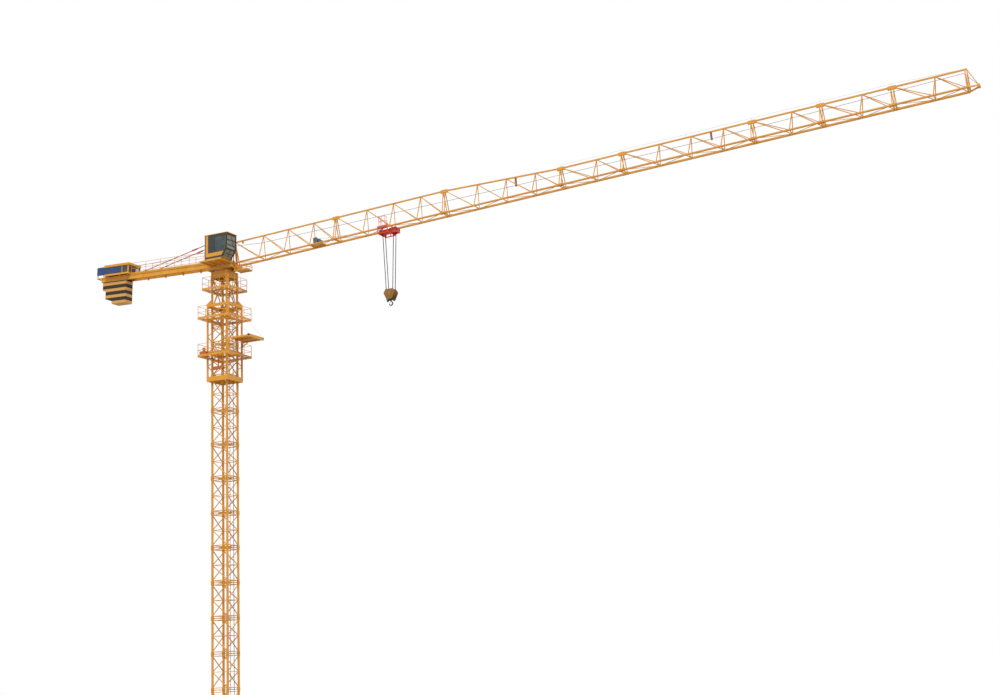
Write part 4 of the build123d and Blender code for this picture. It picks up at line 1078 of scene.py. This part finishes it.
# %% Tip sheave and trolley rope
tip_s, winch_s, low_s = jib_end + 0.325, section_ends[1] - 0.96, section_ends[1] + 1.0
tip_outline = sheave_outline(0.045, 0.026, 0.01, 0.008, 0.1)
keep(lathe("tip_sheave", tip_outline, [(tip_s, 0, 0.04)], machine_paint, 20, jib_place))
rope_points = [(winch_s + 0.11, -0.05, 0.24), (low_s, -0.05, 0.06), (tip_s - 0.05, -0.02, 0.05)]
runs = [(a, b, 0.004) for a, b in zip(rope_points, rope_points[1:])]
keep(rods("trolley_rope", runs, rope_wire, 6, jib_place))
keep(grown("trolley_winch_rope_turns", winding_tree, jib_place, Count=22, Radius=0.105, Rope=0.005,
           Start=(winch_s, -0.108, 0.19), Step=(0, 0.0102, 0), Material=rope_wire))

# %% [markdown]
# ## Floor and light
#
# The photograph has a bright, flat sky behind the crane, so the world is plain white where the camera sees it
# directly or in a reflection. Less light than that falls on the object, so that paint renders as it is
# written. A broad soft sun adds some shape, and a pale floor keeps the shadow at the foot. The floor throws
# back less light than the camera sees in it, because in the photograph the undersides are dark.

# %% Floor, world and sun
bpy.ops.mesh.primitive_plane_add(size=400, location=(0, 0, -0.002))
floor = bpy.context.object
floor.name = "studio_floor"
ground, tree = blank(bpy.data.materials.new("matt_pale_floor"))
path = add(tree, "ShaderNodeLightPath", {})
surface(tree, {"Color": mixed(tree, path.outputs["Is Camera Ray"], "#B9B9B6", "#F8F8F6")}, "Diffuse")
floor.data.materials.append(ground)

world, tree = blank(bpy.data.worlds.new("white_studio"))
bpy.context.scene.world = world
path = add(tree, "ShaderNodeLightPath", {})
seen = math_node(tree, "MAXIMUM", path.outputs["Is Camera Ray"], path.outputs["Is Glossy Ray"])
through = math_node(tree, "MAXIMUM", seen, path.outputs["Is Transmission Ray"])
level = add(tree, "ShaderNodeMapRange", {"Value": through, "To Min": 0.6, "To Max": 1.0})
sky = add(tree, "ShaderNodeBackground", {"Color": (1, 1, 1, 1), "Strength": level.outputs[0]})
add(tree, "ShaderNodeOutputWorld", {"Surface": sky.outputs[0]})

sun = bpy.data.lights.new("soft_sun", "SUN")
sun.energy, sun.angle = 2.4, math.radians(25)
sun_object = bpy.data.objects.new("soft_sun", sun)
bpy.context.scene.collection.objects.link(sun_object)
sun_object.rotation_euler = Vector((-0.35, 0.55, -0.75)).to_track_quat("-Z", "Y").to_euler()
bpy.context.scene.view_settings.view_transform = "Standard"
print("world", round(level.inputs["To Min"].default_value, 2), "sun", round(sun.energy, 2))

# %% [markdown]
# ## The camera
#
# The photograph was taken from near the ground, about sixty metres away at this scale, on the cab's side. Its
# place and turn come from fitting the mast's and the jib's joints: it looks up by twelve degrees and the
# picture leans by a little over two.

# %% Camera
look_up, lean, heading = math.radians(11.987), math.radians(-2.372), math.radians(25.503)
focal_pixels, picture_width, sensor_width = 1503.2, 1000, 36
level_right = Vector((math.cos(heading), math.sin(heading), 0))
forward = Vector((-level_right.y * math.cos(look_up), level_right.x * math.cos(look_up), math.sin(look_up)))
above = level_right.cross(forward)
camera_right = level_right * math.cos(lean) + above * math.sin(lean)
camera_up = above * math.cos(lean) - level_right * math.sin(lean)
turn = Matrix((camera_right, camera_up, -forward)).transposed()
camera_data = bpy.data.cameras.new("photo_camera")
camera_data.sensor_width, camera_data.clip_end = sensor_width, 400
camera_data.lens = sensor_width * focal_pixels / picture_width
camera = bpy.data.objects.new("photo_camera", camera_data)
camera.matrix_world = Matrix.Translation((36.545, -50.095, 2.145)) @ turn.to_4x4()
bpy.context.scene.collection.objects.link(camera)
bpy.context.scene.camera = camera
print("lens", round(camera_data.lens, 2), "mm")
